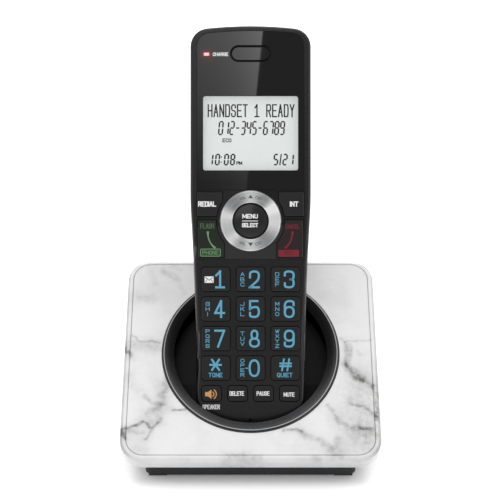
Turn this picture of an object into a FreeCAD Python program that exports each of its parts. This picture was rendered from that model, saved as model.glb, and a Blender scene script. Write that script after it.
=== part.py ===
import FreeCAD, Part
import math
import os
import Sketcher

# Cordless telephone: a handset that leans back in the round well of a sloping charging base.
# World axes: +X to the right, +Y to the rear, +Z up, z = 0 is the table.
# Plate frame: origin at the well's centre on the sloping plate, x right, y up the slope, z out of it.
# Handset frame: origin at the foot of the handset's face, x right, y up the handset, z out of the face.

# Driving dimensions in millimetres and degrees: name, value, what it is
DIMENSIONS = [
    ("slope_angle", 29.5, "slope of the marble plate"),
    ("lean_angle", 28.0, "lean of the handset from the vertical"),
    ("well_height", 37.5, "height of the well's centre above the table"),
    ("seat_gap", 0.3, "clearance between seated pieces"),
    ("fine_gap", 0.15, "clearance of small flush pieces"),
    ("plate_width", 103.0, "marble housing, side to side"),
    ("plate_front", 48.0, "well's centre to the plate's front edge"),
    ("plate_rear", 44.2, "well's centre to the plate's rear edge"),
    ("plate_corner", 9.5, "corner radius of the plate"),
    ("plate_bevel", 1.5, "bevel round the plate's top edge"),
    ("plate_skirt", 6.6, "height of the marble housing's skirt"),
    ("plate_wall", 2.0, "wall of the marble housing"),
    ("inlay_inset", 2.3, "marble face plate in from the plate's edge"),
    ("inlay_thickness", 1.0, "marble face plate"),
    ("plate_hole", 35.2, "radius of the hole for the well"),
    ("boss_radius", 3.0, "screw bosses of the base"),
    ("boss_side", 45.4, "screw bosses, to each side of the middle"),
    ("boss_front", 37.5, "front bosses, in front of the well's centre"),
    ("boss_rear", 34.0, "rear bosses, behind the well's centre"),
    ("ring_outer", 36.3, "outer radius of the trim ring"),
    ("ring_crest", 35.2, "radius of the ring's crest"),
    ("ring_inner", 31.3, "inner radius of the trim ring"),
    ("ring_rise", 0.8, "crest above the plate"),
    ("ring_fall", 1.0, "inner edge of the lip below the plate"),
    ("ring_depth", 1.9, "underside of the ring below the plate"),
    ("ring_crown", 14.0, "radius of the lip's rounded top"),
    ("ring_edge", 1.3, "radius of the ring's outer edge"),
    ("well_radius", 34.0, "inner radius of the well, across the plate"),
    ("well_wall", 1.6, "wall of the well"),
    ("foot_setback", 23.65, "handset's foot in front of the well's centre"),
    ("foot_drop", 23.6, "handset's foot below the well's centre"),
    ("rest_height", 18.0, "top of the well's back-rest, up from the handset's foot"),
    ("well_shoulder", 6.0, "well's inside below the plate, at the rear"),
    ("tub_width", 84.0, "bottom shell, side to side"),
    ("tub_front", 34.3, "well's centre to the bottom shell's front"),
    ("tub_rear", 36.0, "well's centre to the bottom shell's rear"),
    ("tub_corner", 3.5, "corner radius of the bottom shell"),
    ("tub_wall", 2.0, "side walls of the bottom shell"),
    ("tub_floor", 1.6, "floor of the bottom shell"),
    ("tub_bevel", 0.5, "bevel round the bottom shell's lower edge"),
    ("tray_thickness", 1.5, "flange that closes the marble housing"),
    ("pad_height", 1.0, "rubber feet below the bottom shell"),
    ("pad_recess", 0.5, "recess of the feet in the floor"),
    ("pad_width", 7.2, "rubber feet, side to side"),
    ("pad_length", 12.0, "rubber feet, front to rear"),
    ("pad_inset", 1.4, "rubber feet in from the bottom shell's sides"),
    ("base_board_height", 8.0, "underside of the base board above the table"),
    ("base_board_width", 70.0, "base board, side to side"),
    ("base_board_front", 3.0, "base board's front edge, before the well's centre"),
    ("board_thickness", 1.6, "both circuit boards"),
    ("post_radius", 2.0, "posts under the base board"),
    ("jack_spacing", 36.0, "power jack to line jack"),
    ("jack_depth", 13.5, "length of both jacks"),
    ("line_jack_width", 14.0, "line jack, side to side"),
    ("line_jack_height", 12.0, "line jack, height"),
    ("line_port_width", 9.8, "line socket, side to side"),
    ("line_port_height", 6.8, "line socket, height"),
    ("line_port_depth", 10.0, "line socket, depth"),
    ("power_jack_width", 9.0, "power jack, side to side"),
    ("power_jack_height", 10.5, "power jack, height"),
    ("power_bore", 2.9, "radius of the power socket"),
    ("power_pin", 1.0, "radius of the power socket's pin"),
    ("power_depth", 9.5, "depth of the power socket"),
    ("find_key_radius", 4.5, "handset finder key"),
    ("find_key_height", 15.6, "finder key's centre above the table"),
    ("find_key_rise", 0.9, "finder key proud of the rear wall"),
    ("handset_length", 163.5, "foot to top of the handset"),
    ("handset_width", 48.5, "handset at its ear end"),
    ("foot_width", 43.5, "handset at its foot"),
    ("handset_thickness", 25.0, "face to back"),
    ("foot_thickness", 13.0, "face to back at the foot"),
    ("taper_end", 60.0, "where the back reaches its full depth"),
    ("taper_blend", 6.0, "half length of the curve between taper and back"),
    ("waist_top", 97.0, "where the sides start to narrow"),
    ("waist_bottom", 19.0, "where the sides are parallel again"),
    ("waist_split", 0.135, "share of the narrowing that curves outwards"),
    ("crown_radius", 163.0, "radius of the curved top"),
    ("top_corner", 7.5, "corner radius of the curved top"),
    ("foot_corner", 8.0, "corner radius of the foot"),
    ("face_edge", 1.6, "rounding between face and sides"),
    ("back_edge", 4.2, "rounding between back and sides"),
    ("case_wall", 1.4, "side and back walls of the handset"),
    ("face_wall", 2.0, "front wall of the handset"),
    ("parting_depth", 8.0, "parting line below the face"),
    ("channel_half", 21.6, "half width of the recess for lens and bezel"),
    ("channel_bottom", 69.7, "lower end of the bezel"),
    ("lens_bottom", 97.5, "line between bezel and lens"),
    ("lens_margin", 2.1, "top of the lens below the handset's top"),
    ("lens_thickness", 1.1, "lens and bezel"),
    ("window_half", 19.1, "half width of the display window"),
    ("window_bottom", 105.4, "display window, lower edge"),
    ("window_drop", 16.9, "display window's upper edge below the earpiece's centre"),
    ("window_corner", 1.0, "corner radius of the display window"),
    ("lcd_half", 20.6, "half width of the display glass"),
    ("lcd_margin", 3.0, "display glass beyond the window, up and down"),
    ("lcd_thickness", 2.0, "display glass"),
    ("backlight_thickness", 2.4, "light guide behind the display"),
    ("ear_drop", 11.3, "centre of the earpiece below the handset's top"),
    ("ear_half", 8.3, "half length of the earpiece opening"),
    ("ear_radius", 3.4, "end radius of the earpiece opening"),
    ("ear_groove", 0.9, "gap between earpiece opening and bar"),
    ("receiver_radius", 8.5, "earpiece receiver"),
    ("receiver_thickness", 4.4, "earpiece receiver"),
    ("light_side", 17.7, "charge light, left of the middle"),
    ("light_drop", 11.5, "charge light below the handset's top"),
    ("light_width", 2.4, "charge light, side to side"),
    ("light_bar", 1.0, "charge light, up and down"),
    ("mic_height", 5.3, "microphone hole above the foot"),
    ("mic_hole", 0.7, "radius of the microphone hole"),
    ("mic_radius", 3.0, "microphone capsule"),
    ("mic_thickness", 2.6, "microphone capsule"),
    ("dial_height", 85.1, "centre of the navigation ring"),
    ("dial_outer", 12.15, "navigation ring, outer radius"),
    ("dial_inner", 7.25, "navigation ring, inner radius"),
    ("dial_rise", 1.0, "navigation ring above the face"),
    ("dial_clearance", 0.3, "gap round the navigation ring"),
    ("dial_lip", 0.75, "retaining lip of the navigation ring"),
    ("dial_lip_depth", 2.8, "top of that lip below the face"),
    ("dial_depth", 3.5, "underside of the navigation ring"),
    ("dial_pivot", 0.7, "radius of the navigation ring's side pivots"),
    ("dial_pivot_depth", 2.75, "centre of those pivots below the face"),
    ("dial_pivot_length", 0.6, "those pivots beyond the ring's side"),
    ("menu_radius", 6.6, "centre key"),
    ("menu_rise", 1.3, "top of the centre key above the face"),
    ("menu_flange", 7.7, "flange of the centre key"),
    ("menu_flange_depth", 4.4, "top of that flange below the face"),
    ("moat_radius", 13.8, "curved side of the keys round the ring"),
    ("soft_outer", 21.4, "outer side of the upper soft keys"),
    ("soft_inner", 11.3, "inner side of the upper soft keys"),
    ("soft_bottom", 87.0, "upper soft keys, lower edge"),
    ("soft_top", 96.6, "upper soft keys, upper edge"),
    ("call_outer", 21.0, "outer side of the call keys"),
    ("call_inner", 10.6, "inner side of the call keys"),
    ("call_bottom", 70.4, "call keys, lower edge"),
    ("call_top", 85.4, "call keys, upper edge"),
    ("key_width", 11.4, "digit key"),
    ("key_height", 9.6, "digit key"),
    ("key_corner", 1.3, "corner radius of the keys"),
    ("key_column", 13.93, "digit key pitch, side to side"),
    ("key_row", 11.86, "digit key pitch, up and down"),
    ("key_first", 61.7, "centre of the top row of digit keys"),
    ("small_width", 7.8, "bottom row key"),
    ("small_height", 6.2, "bottom row key"),
    ("small_pitch", 10.4, "bottom row pitch"),
    ("small_centre", 15.9, "centre of the bottom row"),
    ("key_gap", 0.25, "gap round each key"),
    ("key_rise", 0.9, "keys above the face"),
    ("key_round", 0.45, "rounding of the keys' top edges"),
    ("key_flange", 0.4, "flange of the keys beyond the cap"),
    ("flange_thickness", 0.9, "flange of the keys"),
    ("flange_gap", 0.1, "flange below the front wall"),
    ("key_travel", 0.8, "travel of every key"),
    ("plunger_radius", 1.6, "plunger under each key"),
    ("contact_gap", 0.15, "space left under a pressed plunger"),
    ("mat_thickness", 0.5, "rubber mat over the domes"),
    ("mat_gap", 0.05, "mat above the domes"),
    ("dome_radius", 2.2, "metal domes"),
    ("dome_height", 0.3, "metal domes"),
    ("board_depth", 7.0, "front of the handset board below the face"),
    ("board_half", 19.3, "half width of board and mat"),
    ("board_bottom", 11.0, "lower end of the handset board"),
    ("board_margin", 5.5, "upper end of the handset board below the handset's top"),
    ("cell_drop", 40.5, "battery compartment's upper end below the handset's top"),
    ("cell_length", 52.0, "battery compartment, up and down"),
    ("cell_half", 16.2, "half width of the battery compartment"),
    ("cell_depth", 11.5, "compartment's floor below the face"),
    ("cell_wall", 1.2, "walls round the compartment"),
    ("pack_width", 21.4, "battery pack, two cells side by side"),
    ("pack_thickness", 10.6, "battery pack, one cell deep"),
    ("pack_length", 44.8, "battery pack"),
    ("door_ledge", 1.0, "ledge under the battery door"),
    ("door_thickness", 1.6, "battery door"),
    ("plug_width", 6.0, "battery plug"),
    ("plug_length", 3.6, "battery plug"),
    ("plug_height", 5.0, "battery plug"),
    ("speaker_drop", 25.5, "centre of the rear loudspeaker below the handset's top"),
    ("speaker_radius", 9.5, "rear loudspeaker"),
    ("speaker_thickness", 4.2, "rear loudspeaker"),
    ("grille_length", 12.0, "slots of the loudspeaker grille"),
    ("grille_width", 1.2, "slots of the loudspeaker grille"),
    ("grille_pitch", 2.6, "slots of the loudspeaker grille"),
    ("strip_length", 16.0, "antenna strips"),
    ("strip_thickness", 0.8, "antenna strips"),
    ("contact_side", 7.5, "charging contacts, to each side"),
    ("contact_bottom", 8.5, "charging contacts, lower edge"),
    ("contact_top", 12.5, "charging contacts, upper edge"),
    ("contact_width", 3.0, "charging contacts"),
    ("screw_radius", 1.0, "shank of the screws"),
    ("head_radius", 2.1, "head of the screws"),
    ("head_height", 1.5, "head of the screws"),
    ("screw_sink", 2.2, "handset screw heads' seat below the back"),
    ("pillar_radius", 2.8, "screw pillars of the handset"),
    ("high_screw_side", 17.0, "upper handset screws, to each side"),
    ("high_screw_drop", 18.5, "upper handset screws below the handset's top"),
    ("low_screw_side", 14.0, "lower handset screws, to each side"),
    ("low_screw_height", 7.2, "lower handset screws, above the foot"),
]

FAR = 90.0  # reach of the tools that cut right through

doc = FreeCAD.newDocument("CordlessPhone")
sheet = doc.addObject("Spreadsheet::Sheet", "Sizes")


class Size:
    """A length or number with its value now and the sheet expression that gives it."""

    def __init__(self, text, value):
        self.text = text
        self.value = value

    def __add__(self, other):
        other = size(other)
        return Size(f"({self.text} + {other.text})", self.value + other.value)

    def __sub__(self, other):
        other = size(other)
        return Size(f"({self.text} - {other.text})", self.value - other.value)

    def __mul__(self, other):
        other = size(other)
        return Size(f"({self.text} * {other.text})", self.value * other.value)

    def __truediv__(self, other):
        other = size(other)
        return Size(f"({self.text} / {other.text})", self.value / other.value)

    def __radd__(self, other):
        return size(other) + self

    def __rsub__(self, other):
        return size(other) - self

    def __rmul__(self, other):
        return size(other) * self

    def __neg__(self):
        return Size(f"(0 - {self.text})", -self.value)


def size(value):
    return value if isinstance(value, Size) else Size(f"{float(value):.6g}", float(value))


def sine(angle):
    return Size(f"sin({angle.text} * 1 deg)", math.sin(math.radians(angle.value)))


def cosine(angle):
    return Size(f"cos({angle.text} * 1 deg)", math.cos(math.radians(angle.value)))


def root(number):
    return Size(f"sqrt({number.text})", math.sqrt(number.value))


def fill_sheet():
    """One row for each driving dimension: what it is, its value and its alias."""
    named = {}
    for row, (name, value, note) in enumerate(DIMENSIONS, start=1):
        sheet.set(f"A{row}", note)
        sheet.set(f"B{row}", str(value))
        sheet.setAlias(f"B{row}", name)
        named[name] = Size(f"Sizes.{name}", value)
    doc.recompute()
    return named


class Dimensions:
    """The sheet's sizes by name."""

    def __init__(self, named):
        self.__dict__.update(named)


d = Dimensions(fill_sheet())

# Heights above the handset's foot of what goes with its top

d.lens_top = d.handset_length - d.lens_margin
d.ear_height = d.handset_length - d.ear_drop
d.window_top = d.ear_height - d.window_drop
d.light_height = d.handset_length - d.light_drop
d.board_top = d.handset_length - d.board_margin
d.cell_top = d.handset_length - d.cell_drop
d.cell_bottom = d.cell_top - d.cell_length
d.speaker_height = d.handset_length - d.speaker_drop
d.high_screw_height = d.handset_length - d.high_screw_drop


def bind(thing, prop, value):
    """Ties a property to the sheet."""
    thing.setExpression(prop, size(value).text)


# Where the two tilted frames lie: the whole object is centred front to rear on the world's origin

front_reach = d.plate_front * cosine(d.slope_angle) - d.plate_bevel * sine(d.slope_angle)
rear_reach = (
    (d.handset_length - d.back_edge) * sine(d.lean_angle)
    + (d.handset_thickness - d.back_edge) * cosine(d.lean_angle)
    + d.back_edge
    - d.foot_setback
)
well_y = (front_reach - rear_reach) / 2
foot_y = well_y - d.foot_setback
foot_z = d.well_height - d.foot_drop


def place(thing, frame, x=0, y=0, z=0):
    """Puts an object at a point of the world, plate or handset frame, turned with that frame."""
    x, y, z = size(x), size(y), size(z)
    if frame == "world":
        spot = (x, y, z)
    elif frame == "plate":
        across, up, turn = cosine(d.slope_angle), sine(d.slope_angle), d.slope_angle
        spot = (x, well_y + y * across - z * up, d.well_height + y * up + z * across)
    else:
        back, up, turn = sine(d.lean_angle), cosine(d.lean_angle), 90 - d.lean_angle
        spot = (x, foot_y + y * back - z * up, foot_z + y * up + z * back)
    thing.Placement = FreeCAD.Placement(FreeCAD.Vector(), FreeCAD.Rotation(FreeCAD.Vector(1, 0, 0), 1))
    for axis, value in zip("xyz", spot):
        bind(thing, f"Placement.Base.{axis}", value)
    bind(thing, "Placement.Rotation.Angle", 0 if frame == "world" else turn)
    return thing


# Outlines: a list of corners and, for each side, None or the radius of an arc; a negative
# radius curves inwards. Outlines run anticlockwise.


def rectangle(left, bottom, right, top, radius=None):
    if radius is None:
        return [(left, bottom), (right, bottom), (right, top), (left, top)], [None] * 4
    corners = [
        (left + radius, bottom), (right - radius, bottom), (right, bottom + radius), (right, top - radius),
        (right - radius, top), (left + radius, top), (left, top - radius), (left, bottom + radius),
    ]
    return corners, [None, radius] * 4


def box_round(x, y, width, height, radius, grow=0):
    """A rounded rectangle about a centre, grown by a margin all round."""
    half_x, half_y = width / 2 + grow, height / 2 + grow
    return rectangle(x - half_x, y - half_y, x + half_x, y + half_y, radius + grow)


def mirrored(outline):
    """The same outline on the other side of the middle."""
    corners, bends = outline
    return [(-x, y) for x, y in reversed(corners)], list(reversed(bends[:-1])) + [bends[-1]]


def swept_radius(aside, along):
    """Radius of an arc that leaves a straight side smoothly and ends that far aside and along."""
    return (aside * aside + along * along) / (2 * aside)


def crown_corner(side, top, crown, corner):
    """Where a corner arc that meets a straight side smoothly also meets the curved top smoothly."""
    reach = crown - corner
    across = side - corner
    rise = root(reach * reach - across * across)
    return (side, top - crown + rise), (across * crown / reach, top - crown + rise * crown / reach)


def handset_outline(inset):
    """Front view of the handset: narrow foot, slight waist, curved top, shrunk by an inset."""
    side = d.handset_width / 2 - inset
    foot = d.foot_width / 2 - inset
    drop = (side - foot) * d.waist_split
    length = (d.waist_top - d.waist_bottom) * d.waist_split
    rest = (d.waist_top - d.waist_bottom) - length
    crown, corner = d.crown_radius - inset, d.top_corner - inset
    right = [
        (d.foot_width / 2 - d.foot_corner, size(inset)),
        (foot, d.foot_corner),
        (foot, d.waist_bottom),
        (side - drop, d.waist_top - length),
        (side, d.waist_top),
        *crown_corner(side, d.handset_length - inset, crown, corner),
    ]
    bends = [
        d.foot_corner - inset,
        None,
        -swept_radius(side - drop - foot, rest),
        swept_radius(drop, length),
        None,
        corner,
    ]
    left = [(-x, y) for x, y in reversed(right)]
    return right + left, bends + [crown] + list(reversed(bends)) + [None]


def soft_key_outline(grow=0):
    """Upper left key: a rectangle with its inner side cut by a circle round the ring."""
    circle = d.moat_radius - grow
    inner, low = d.soft_inner - grow, d.soft_bottom - grow
    foot = root(circle * circle - (low - d.dial_height) * (low - d.dial_height))
    shoulder = d.dial_height + root(circle * circle - inner * inner)
    outer, top = d.soft_outer + grow, d.soft_top + grow
    corners = [(-outer, low), (-foot, low), (-inner, shoulder), (-inner, top), (-outer, top)]
    return corners, [None, -circle, None, None, None]


def call_key_outline(grow=0):
    """Lower left key beside the ring: its inner side follows the ring, then drops straight."""
    circle = d.moat_radius - grow
    inner, top = d.call_inner - grow, d.call_top + grow
    shoulder = d.dial_height - root(circle * circle - inner * inner)
    upper = root(circle * circle - (top - d.dial_height) * (top - d.dial_height))
    outer, low = d.call_outer + grow, d.call_bottom - grow
    corners = [(-outer, low), (-inner, low), (-inner, shoulder), (-upper, top), (-outer, top)]
    return corners, [None, None, -circle, None, None]


def channel_outline(bottom, top, inset=0, square_top=False):
    """The recess of the face: straight sides and, at the ear end, the handset's own rounding."""
    half = d.channel_half - inset
    if square_top:
        return rectangle(-half, bottom + inset, half, top - inset)
    margin = d.handset_length - top + inset
    crown, bend = d.crown_radius - margin, d.top_corner - margin
    side, shoulder = crown_corner(half, top - inset, crown, bend)
    corners = [
        (-half, bottom + inset), (half, bottom + inset), side, shoulder,
        (-shoulder[0], shoulder[1]), (-side[0], side[1]),
    ]
    return corners, [None, None, bend, crown, bend, None]


# Drawing and building


def draw(sketch, outline):
    """Draws a closed outline; each corner is held by its coordinates, each arc by its radius."""
    corners, bends = outline
    corners = [(size(x), size(y)) for x, y in corners]
    spots = [FreeCAD.Vector(x.value, y.value, 0) for x, y in corners]
    first = sketch.GeometryCount
    heads = []
    for here, bend in enumerate(bends):
        start, end = spots[here], spots[(here + 1) % len(spots)]
        if bend is None:
            sketch.addGeometry(Part.LineSegment(start, end), False)
            heads.append((1, 2))
            continue
        radius = abs(bend.value)
        chord = end - start
        aside = FreeCAD.Vector(-chord.y, chord.x, 0).normalize() * math.copysign(1.0, bend.value)
        sagitta = radius - math.sqrt(max(radius ** 2 - (chord.Length / 2) ** 2, 0.0))
        middle = (start + end) * 0.5 - aside * sagitta
        sketch.addGeometry(Part.Arc(start, middle, end), False)
        swapped = (sketch.getPoint(first + here, 1) - start).Length > (sketch.getPoint(first + here, 2) - start).Length
        heads.append((2, 1) if swapped else (1, 2))
    count = len(bends)
    for here in range(count):
        after = (here + 1) % count
        sketch.addConstraint(
            Sketcher.Constraint("Coincident", first + here, heads[here][1], first + after, heads[after][0])
        )
    for here, (x, y) in enumerate(corners):
        for kind, value in (("DistanceX", x), ("DistanceY", y)):
            index = sketch.addConstraint(
                Sketcher.Constraint(kind, -1, 1, first + here, heads[here][0], value.value)
            )
            bind(sketch, f"Constraints[{index}]", value)
    for here, bend in enumerate(bends):
        if bend is not None:
            radius = bend if bend.value > 0 else -bend
            index = sketch.addConstraint(Sketcher.Constraint("Radius", first + here, radius.value))
            bind(sketch, f"Constraints[{index}]", radius)


def draw_circle(sketch, x, y, radius):
    x, y, radius = size(x), size(y), size(radius)
    centre = FreeCAD.Vector(x.value, y.value, 0)
    circle = sketch.addGeometry(Part.Circle(centre, FreeCAD.Vector(0, 0, 1), radius.value), False)
    for constraint, value in (
        (Sketcher.Constraint("DistanceX", -1, 1, circle, 3, x.value), x),
        (Sketcher.Constraint("DistanceY", -1, 1, circle, 3, y.value), y),
        (Sketcher.Constraint("Radius", circle, radius.value), radius),
    ):
        index = sketch.addConstraint(constraint)
        bind(sketch, f"Constraints[{index}]", value)


def new_body(name, frame):
    body = doc.addObject("PartDesign::Body", name)
    return place(body, frame)


def new_sketch(body, outlines=(), circles=(), level=0, plane="XY"):
    """A sketch on one of the body's origin planes, moved along the plane's normal by a level."""
    sketch = body.newObject("Sketcher::SketchObject", body.Name + "_sketch")
    support = [f for f in body.Origin.OriginFeatures if f.Role == plane + "_Plane"][0]
    sketch.AttachmentSupport = [(support, "")]
    sketch.MapMode = "FlatFace"
    bind(sketch, "AttachmentOffset.Base.z", level)
    for outline in outlines:
        draw(sketch, outline)
    for circle in circles:
        draw_circle(sketch, *circle)
    return sketch


def pad(body, length, **where):
    """Adds a prism that starts at the sketch's level and rises by the length."""
    feature = body.newObject("PartDesign::Pad", body.Name + "_pad")
    feature.Profile = new_sketch(body, **where)
    bind(feature, "Length", length)
    return feature


def pocket(body, depth, upwards=False, **where):
    """Removes a prism that starts at the sketch's level and goes down, or up, by the depth."""
    feature = body.newObject("PartDesign::Pocket", body.Name + "_pocket")
    feature.Profile = new_sketch(body, **where)
    feature.Reversed = upwards
    bind(feature, "Length", depth)
    return feature


def revolve(body, outline, level):
    """A full turn of an outline about the line across its sketch's origin, seen from the front."""
    feature = body.newObject("PartDesign::Revolution", body.Name + "_turn")
    sketch = new_sketch(body, [outline], level=-level, plane="XZ")
    feature.Profile = sketch
    feature.ReferenceAxis = (sketch, ["V_Axis"])
    feature.Angle = 360
    return feature


def edges_where(feature, test):
    """Names of a feature's edges all of whose points pass a test."""
    doc.recompute()
    return [
        f"Edge{number}"
        for number, edge in enumerate(feature.Shape.Edges, start=1)
        if all(test(point) for point in edge.discretize(5))
    ]


def at_level(level, axis="z"):
    return lambda point: abs(getattr(point, axis) - size(level).value) < 1e-4


def round_edges(body, feature, test, radius):
    fillet = body.newObject("PartDesign::Fillet", body.Name + "_round")
    fillet.Base = (feature, edges_where(feature, test))
    bind(fillet, "Radius", radius)
    return fillet


def bevel_edges(body, feature, test, width):
    chamfer = body.newObject("PartDesign::Chamfer", body.Name + "_bevel")
    chamfer.Base = (feature, edges_where(feature, test))
    bind(chamfer, "Size", width)
    return chamfer


def block(name, frame, x0, x1, y0, y1, z0, z1):
    """A box between two corners of a frame."""
    box = doc.addObject("Part::Box", name)
    for prop, low, high in (("Length", x0, x1), ("Width", y0, y1), ("Height", z0, z1)):
        bind(box, prop, size(high) - size(low))
    return place(box, frame, x0, y0, z0)


def rod(name, frame, x, y, z0, z1, radius):
    """A cylinder along a frame's z axis."""
    cylinder = doc.addObject("Part::Cylinder", name)
    bind(cylinder, "Radius", radius)
    bind(cylinder, "Height", size(z1) - size(z0))
    return place(cylinder, frame, x, y, z0)


def rod_back(name, x, z, y0, y1, radius):
    """A cylinder that runs front to rear in the world."""
    cylinder = doc.addObject("Part::Cylinder", name)
    bind(cylinder, "Radius", radius)
    bind(cylinder, "Height", size(y1) - size(y0))
    cylinder.Placement = FreeCAD.Placement(FreeCAD.Vector(), FreeCAD.Rotation(FreeCAD.Vector(1, 0, 0), -90))
    for axis, value in (("x", x), ("y", y0), ("z", z)):
        bind(cylinder, f"Placement.Base.{axis}", value)
    return cylinder


def fuse(name, pieces):
    union = doc.addObject("Part::MultiFuse", name)
    union.Shapes = pieces
    return union


def cut(name, base, tools):
    """The base with every tool taken away."""
    difference = doc.addObject("Part::Cut", name)
    difference.Base = base
    difference.Tool = tools[0] if len(tools) == 1 else fuse(name + "_tools", tools)
    return difference


def common(name, one, other):
    overlap = doc.addObject("Part::Common", name)
    overlap.Base = one
    overlap.Tool = other
    return overlap


def group(name, pieces):
    """Separate solids that share one sub-part."""
    compound = doc.addObject("Part::Compound", name)
    compound.Links = pieces
    return compound


def side_block(name, frame, x, width, outline):
    """A prism across the object: an outline seen from the side, y along and z out of the frame."""
    body = new_body(name, frame)
    pad(body, width, outlines=[outline], level=x - size(width) / 2, plane="YZ")
    return body


parts = {}


def keep(thing, name):
    """Marks an object as a sub-part under its own label."""
    thing.Label = name
    parts[name] = thing


# Levels of the handset, below its face

flange_top = d.face_wall + d.flange_gap
mat_top = d.board_depth - d.dome_height - d.mat_gap - d.mat_thickness
plunger_tip = mat_top - d.key_travel - d.contact_gap
taper = (d.handset_thickness - d.foot_thickness) / d.taper_end
taper_run = root(1 + taper * taper)


def back_at(height, clear=0):
    """Depth of the tapered back, with a clearance square to it, at a height above the foot."""
    return d.foot_thickness + taper * size(height) + size(clear) * taper_run


# Keys of the handset: name, outline of the cap as a function of its growth, plunger's place


def digit_key(column, row):
    x, y = d.key_column * column, d.key_first - d.key_row * row
    return (lambda grow=0: box_round(x, y, d.key_width, d.key_height, d.key_corner, grow)), (x, y)


def small_key(place_in_row):
    x = d.small_pitch * (place_in_row - 1.5)
    return (
        lambda grow=0: box_round(x, d.small_centre, d.small_width, d.small_height, d.key_corner, grow)
    ), (x, d.small_centre)


soft_spot = ((d.soft_outer + d.moat_radius) / 2, (d.soft_bottom + d.soft_top) / 2)
call_spot = ((d.call_outer + d.call_inner) / 2, (d.call_bottom + d.call_top) / 2 - 1)
DIGIT_NAMES = [["1", "2", "3"], ["4", "5", "6"], ["7", "8", "9"], ["star", "0", "hash"]]

keys = {}
for row, names in enumerate(DIGIT_NAMES):
    for column, digit in zip((-1, 0, 1), names):
        keys["key_" + digit] = digit_key(column, row)
for number, name in enumerate(("speaker_key", "delete_key", "pause_key", "mute_key")):
    keys[name] = small_key(number)
keys["redial_key"] = (soft_key_outline, (-soft_spot[0], soft_spot[1]))
keys["intercom_key"] = ((lambda grow=0: mirrored(soft_key_outline(grow))), soft_spot)
keys["talk_key"] = (call_key_outline, (-call_spot[0], call_spot[1]))
keys["end_key"] = ((lambda grow=0: mirrored(call_key_outline(grow))), call_spot)

BEZEL_KEYS = ("redial_key", "intercom_key", "talk_key", "end_key")
dial_presses = [(0, d.dial_height - 10), (0, d.dial_height + 10)]


def sprung_key(name, outline, spot):
    """Cap with rounded top edges, a flange that holds it behind the front wall, and a plunger."""
    body = new_body(name, "handset")
    pad(body, d.flange_thickness, outlines=[outline(d.key_flange)], level=-flange_top - d.flange_thickness)
    cap = pad(body, flange_top + d.key_rise, outlines=[outline()], level=-flange_top)
    round_edges(body, cap, at_level(d.key_rise), d.key_round)
    low = -plunger_tip
    pad(body, plunger_tip - flange_top, circles=[(*spot, d.plunger_radius)], level=low)
    keep(body, name)


# Handset casing

screw_spots = [
    (side * across, height, back)
    for across, height, back in (
        (d.high_screw_side, d.high_screw_height, d.handset_thickness),
        (d.low_screw_side, d.low_screw_height, back_at(d.low_screw_height)),
    )
    for side in (-1, 1)
]


def stadium(x, y, half, radius):
    """A slot with round ends about a centre."""
    left, right = x - half, x + half
    corners = [
        (left + radius, y - radius), (right - radius, y - radius), (right, y),
        (right - radius, y + radius), (left + radius, y + radius), (left, y),
    ]
    return corners, [None, radius, radius, None, radius, radius]


def ear_slot(shrink=0):
    """The earpiece opening, or what lies inside it by a margin."""
    return stadium(0, d.ear_height, d.ear_half - shrink, d.ear_radius - shrink)


def light_window(grow):
    return box_round(-d.light_side, d.light_height, d.light_width, d.light_bar, size(0.2), grow)


def front_shell():
    """Front half of the case: rounded face edges, recess for lens and bezel, all openings."""
    body = new_body("front_form", "handset")
    form = pad(body, d.parting_depth, outlines=[handset_outline(0)], level=-d.parting_depth)
    round_edges(body, form, at_level(0), d.face_edge)
    pocket(
        body, d.parting_depth - d.face_wall, upwards=True,
        outlines=[handset_outline(d.case_wall)], level=-d.parting_depth,
    )
    pocket(body, d.lens_thickness + d.fine_gap / 3, outlines=[channel_outline(d.channel_bottom, d.lens_top)])
    window = rectangle(
        -d.window_half, d.window_bottom, d.window_half, d.window_top, d.window_corner
    )
    holes = [outline(d.key_gap) for outline, spot in keys.values()]
    for hole in holes + [window, ear_slot(), light_window(d.fine_gap)]:
        pocket(body, d.face_wall * 2, outlines=[hole])
    pocket(
        body, d.face_wall * 2,
        circles=[(0, d.dial_height, d.dial_outer + d.dial_clearance), (0, d.mic_height, d.mic_hole)],
    )
    pad(
        body, d.parting_depth - d.face_wall,
        circles=[(x, y, d.pillar_radius) for x, y, back in screw_spots], level=-d.parting_depth,
    )
    pocket(
        body, d.parting_depth - d.face_wall, upwards=True,
        circles=[(x, y, d.screw_radius + 0.05) for x, y, back in screw_spots], level=-d.parting_depth,
    )
    keep(body, "handset_front_shell")


def back_profile(inset):
    """Side view of all that lies behind the tapered back, to be cut from a plain block."""
    bend = d.taper_end + inset * (taper_run - 1) / taper
    start, end = bend - d.taper_blend / taper_run, bend + d.taper_blend
    deep = d.handset_thickness - inset
    shallow = back_at(start, -inset)
    low, floor = size(-20), d.handset_thickness + 20
    corners = [
        (low, -back_at(low, -inset)), (low, -floor), (end, -floor), (end, -deep), (start, -shallow)
    ]
    return corners, [None, None, None, -swept_radius(deep - shallow, end - start), None]


def rear_form(name, inset):
    """Rear half as a solid, shrunk by an inset: tapered foot and rounded back edges."""
    inset = size(inset)
    body = new_body(name, "handset")
    depth = d.handset_thickness - d.parting_depth - inset
    form = pad(body, depth, outlines=[handset_outline(inset)], level=-d.parting_depth - depth)
    tapered = pocket(
        body, d.handset_width * 2, outlines=[back_profile(inset)], level=d.handset_width, plane="YZ"
    )

    def on_back(point):
        """Tells the edges round the back from those across it and those of the parting line."""
        depth_here = min(d.handset_thickness.value - inset.value, back_at(point.y, -inset).value)
        across = d.foot_corner.value < point.y < d.handset_length.value - d.top_corner.value
        return abs(point.z + depth_here) < 0.4 and (abs(point.x) > d.foot_width.value / 4 or not across)

    round_edges(body, tapered, on_back, d.back_edge - inset)
    return body


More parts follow.
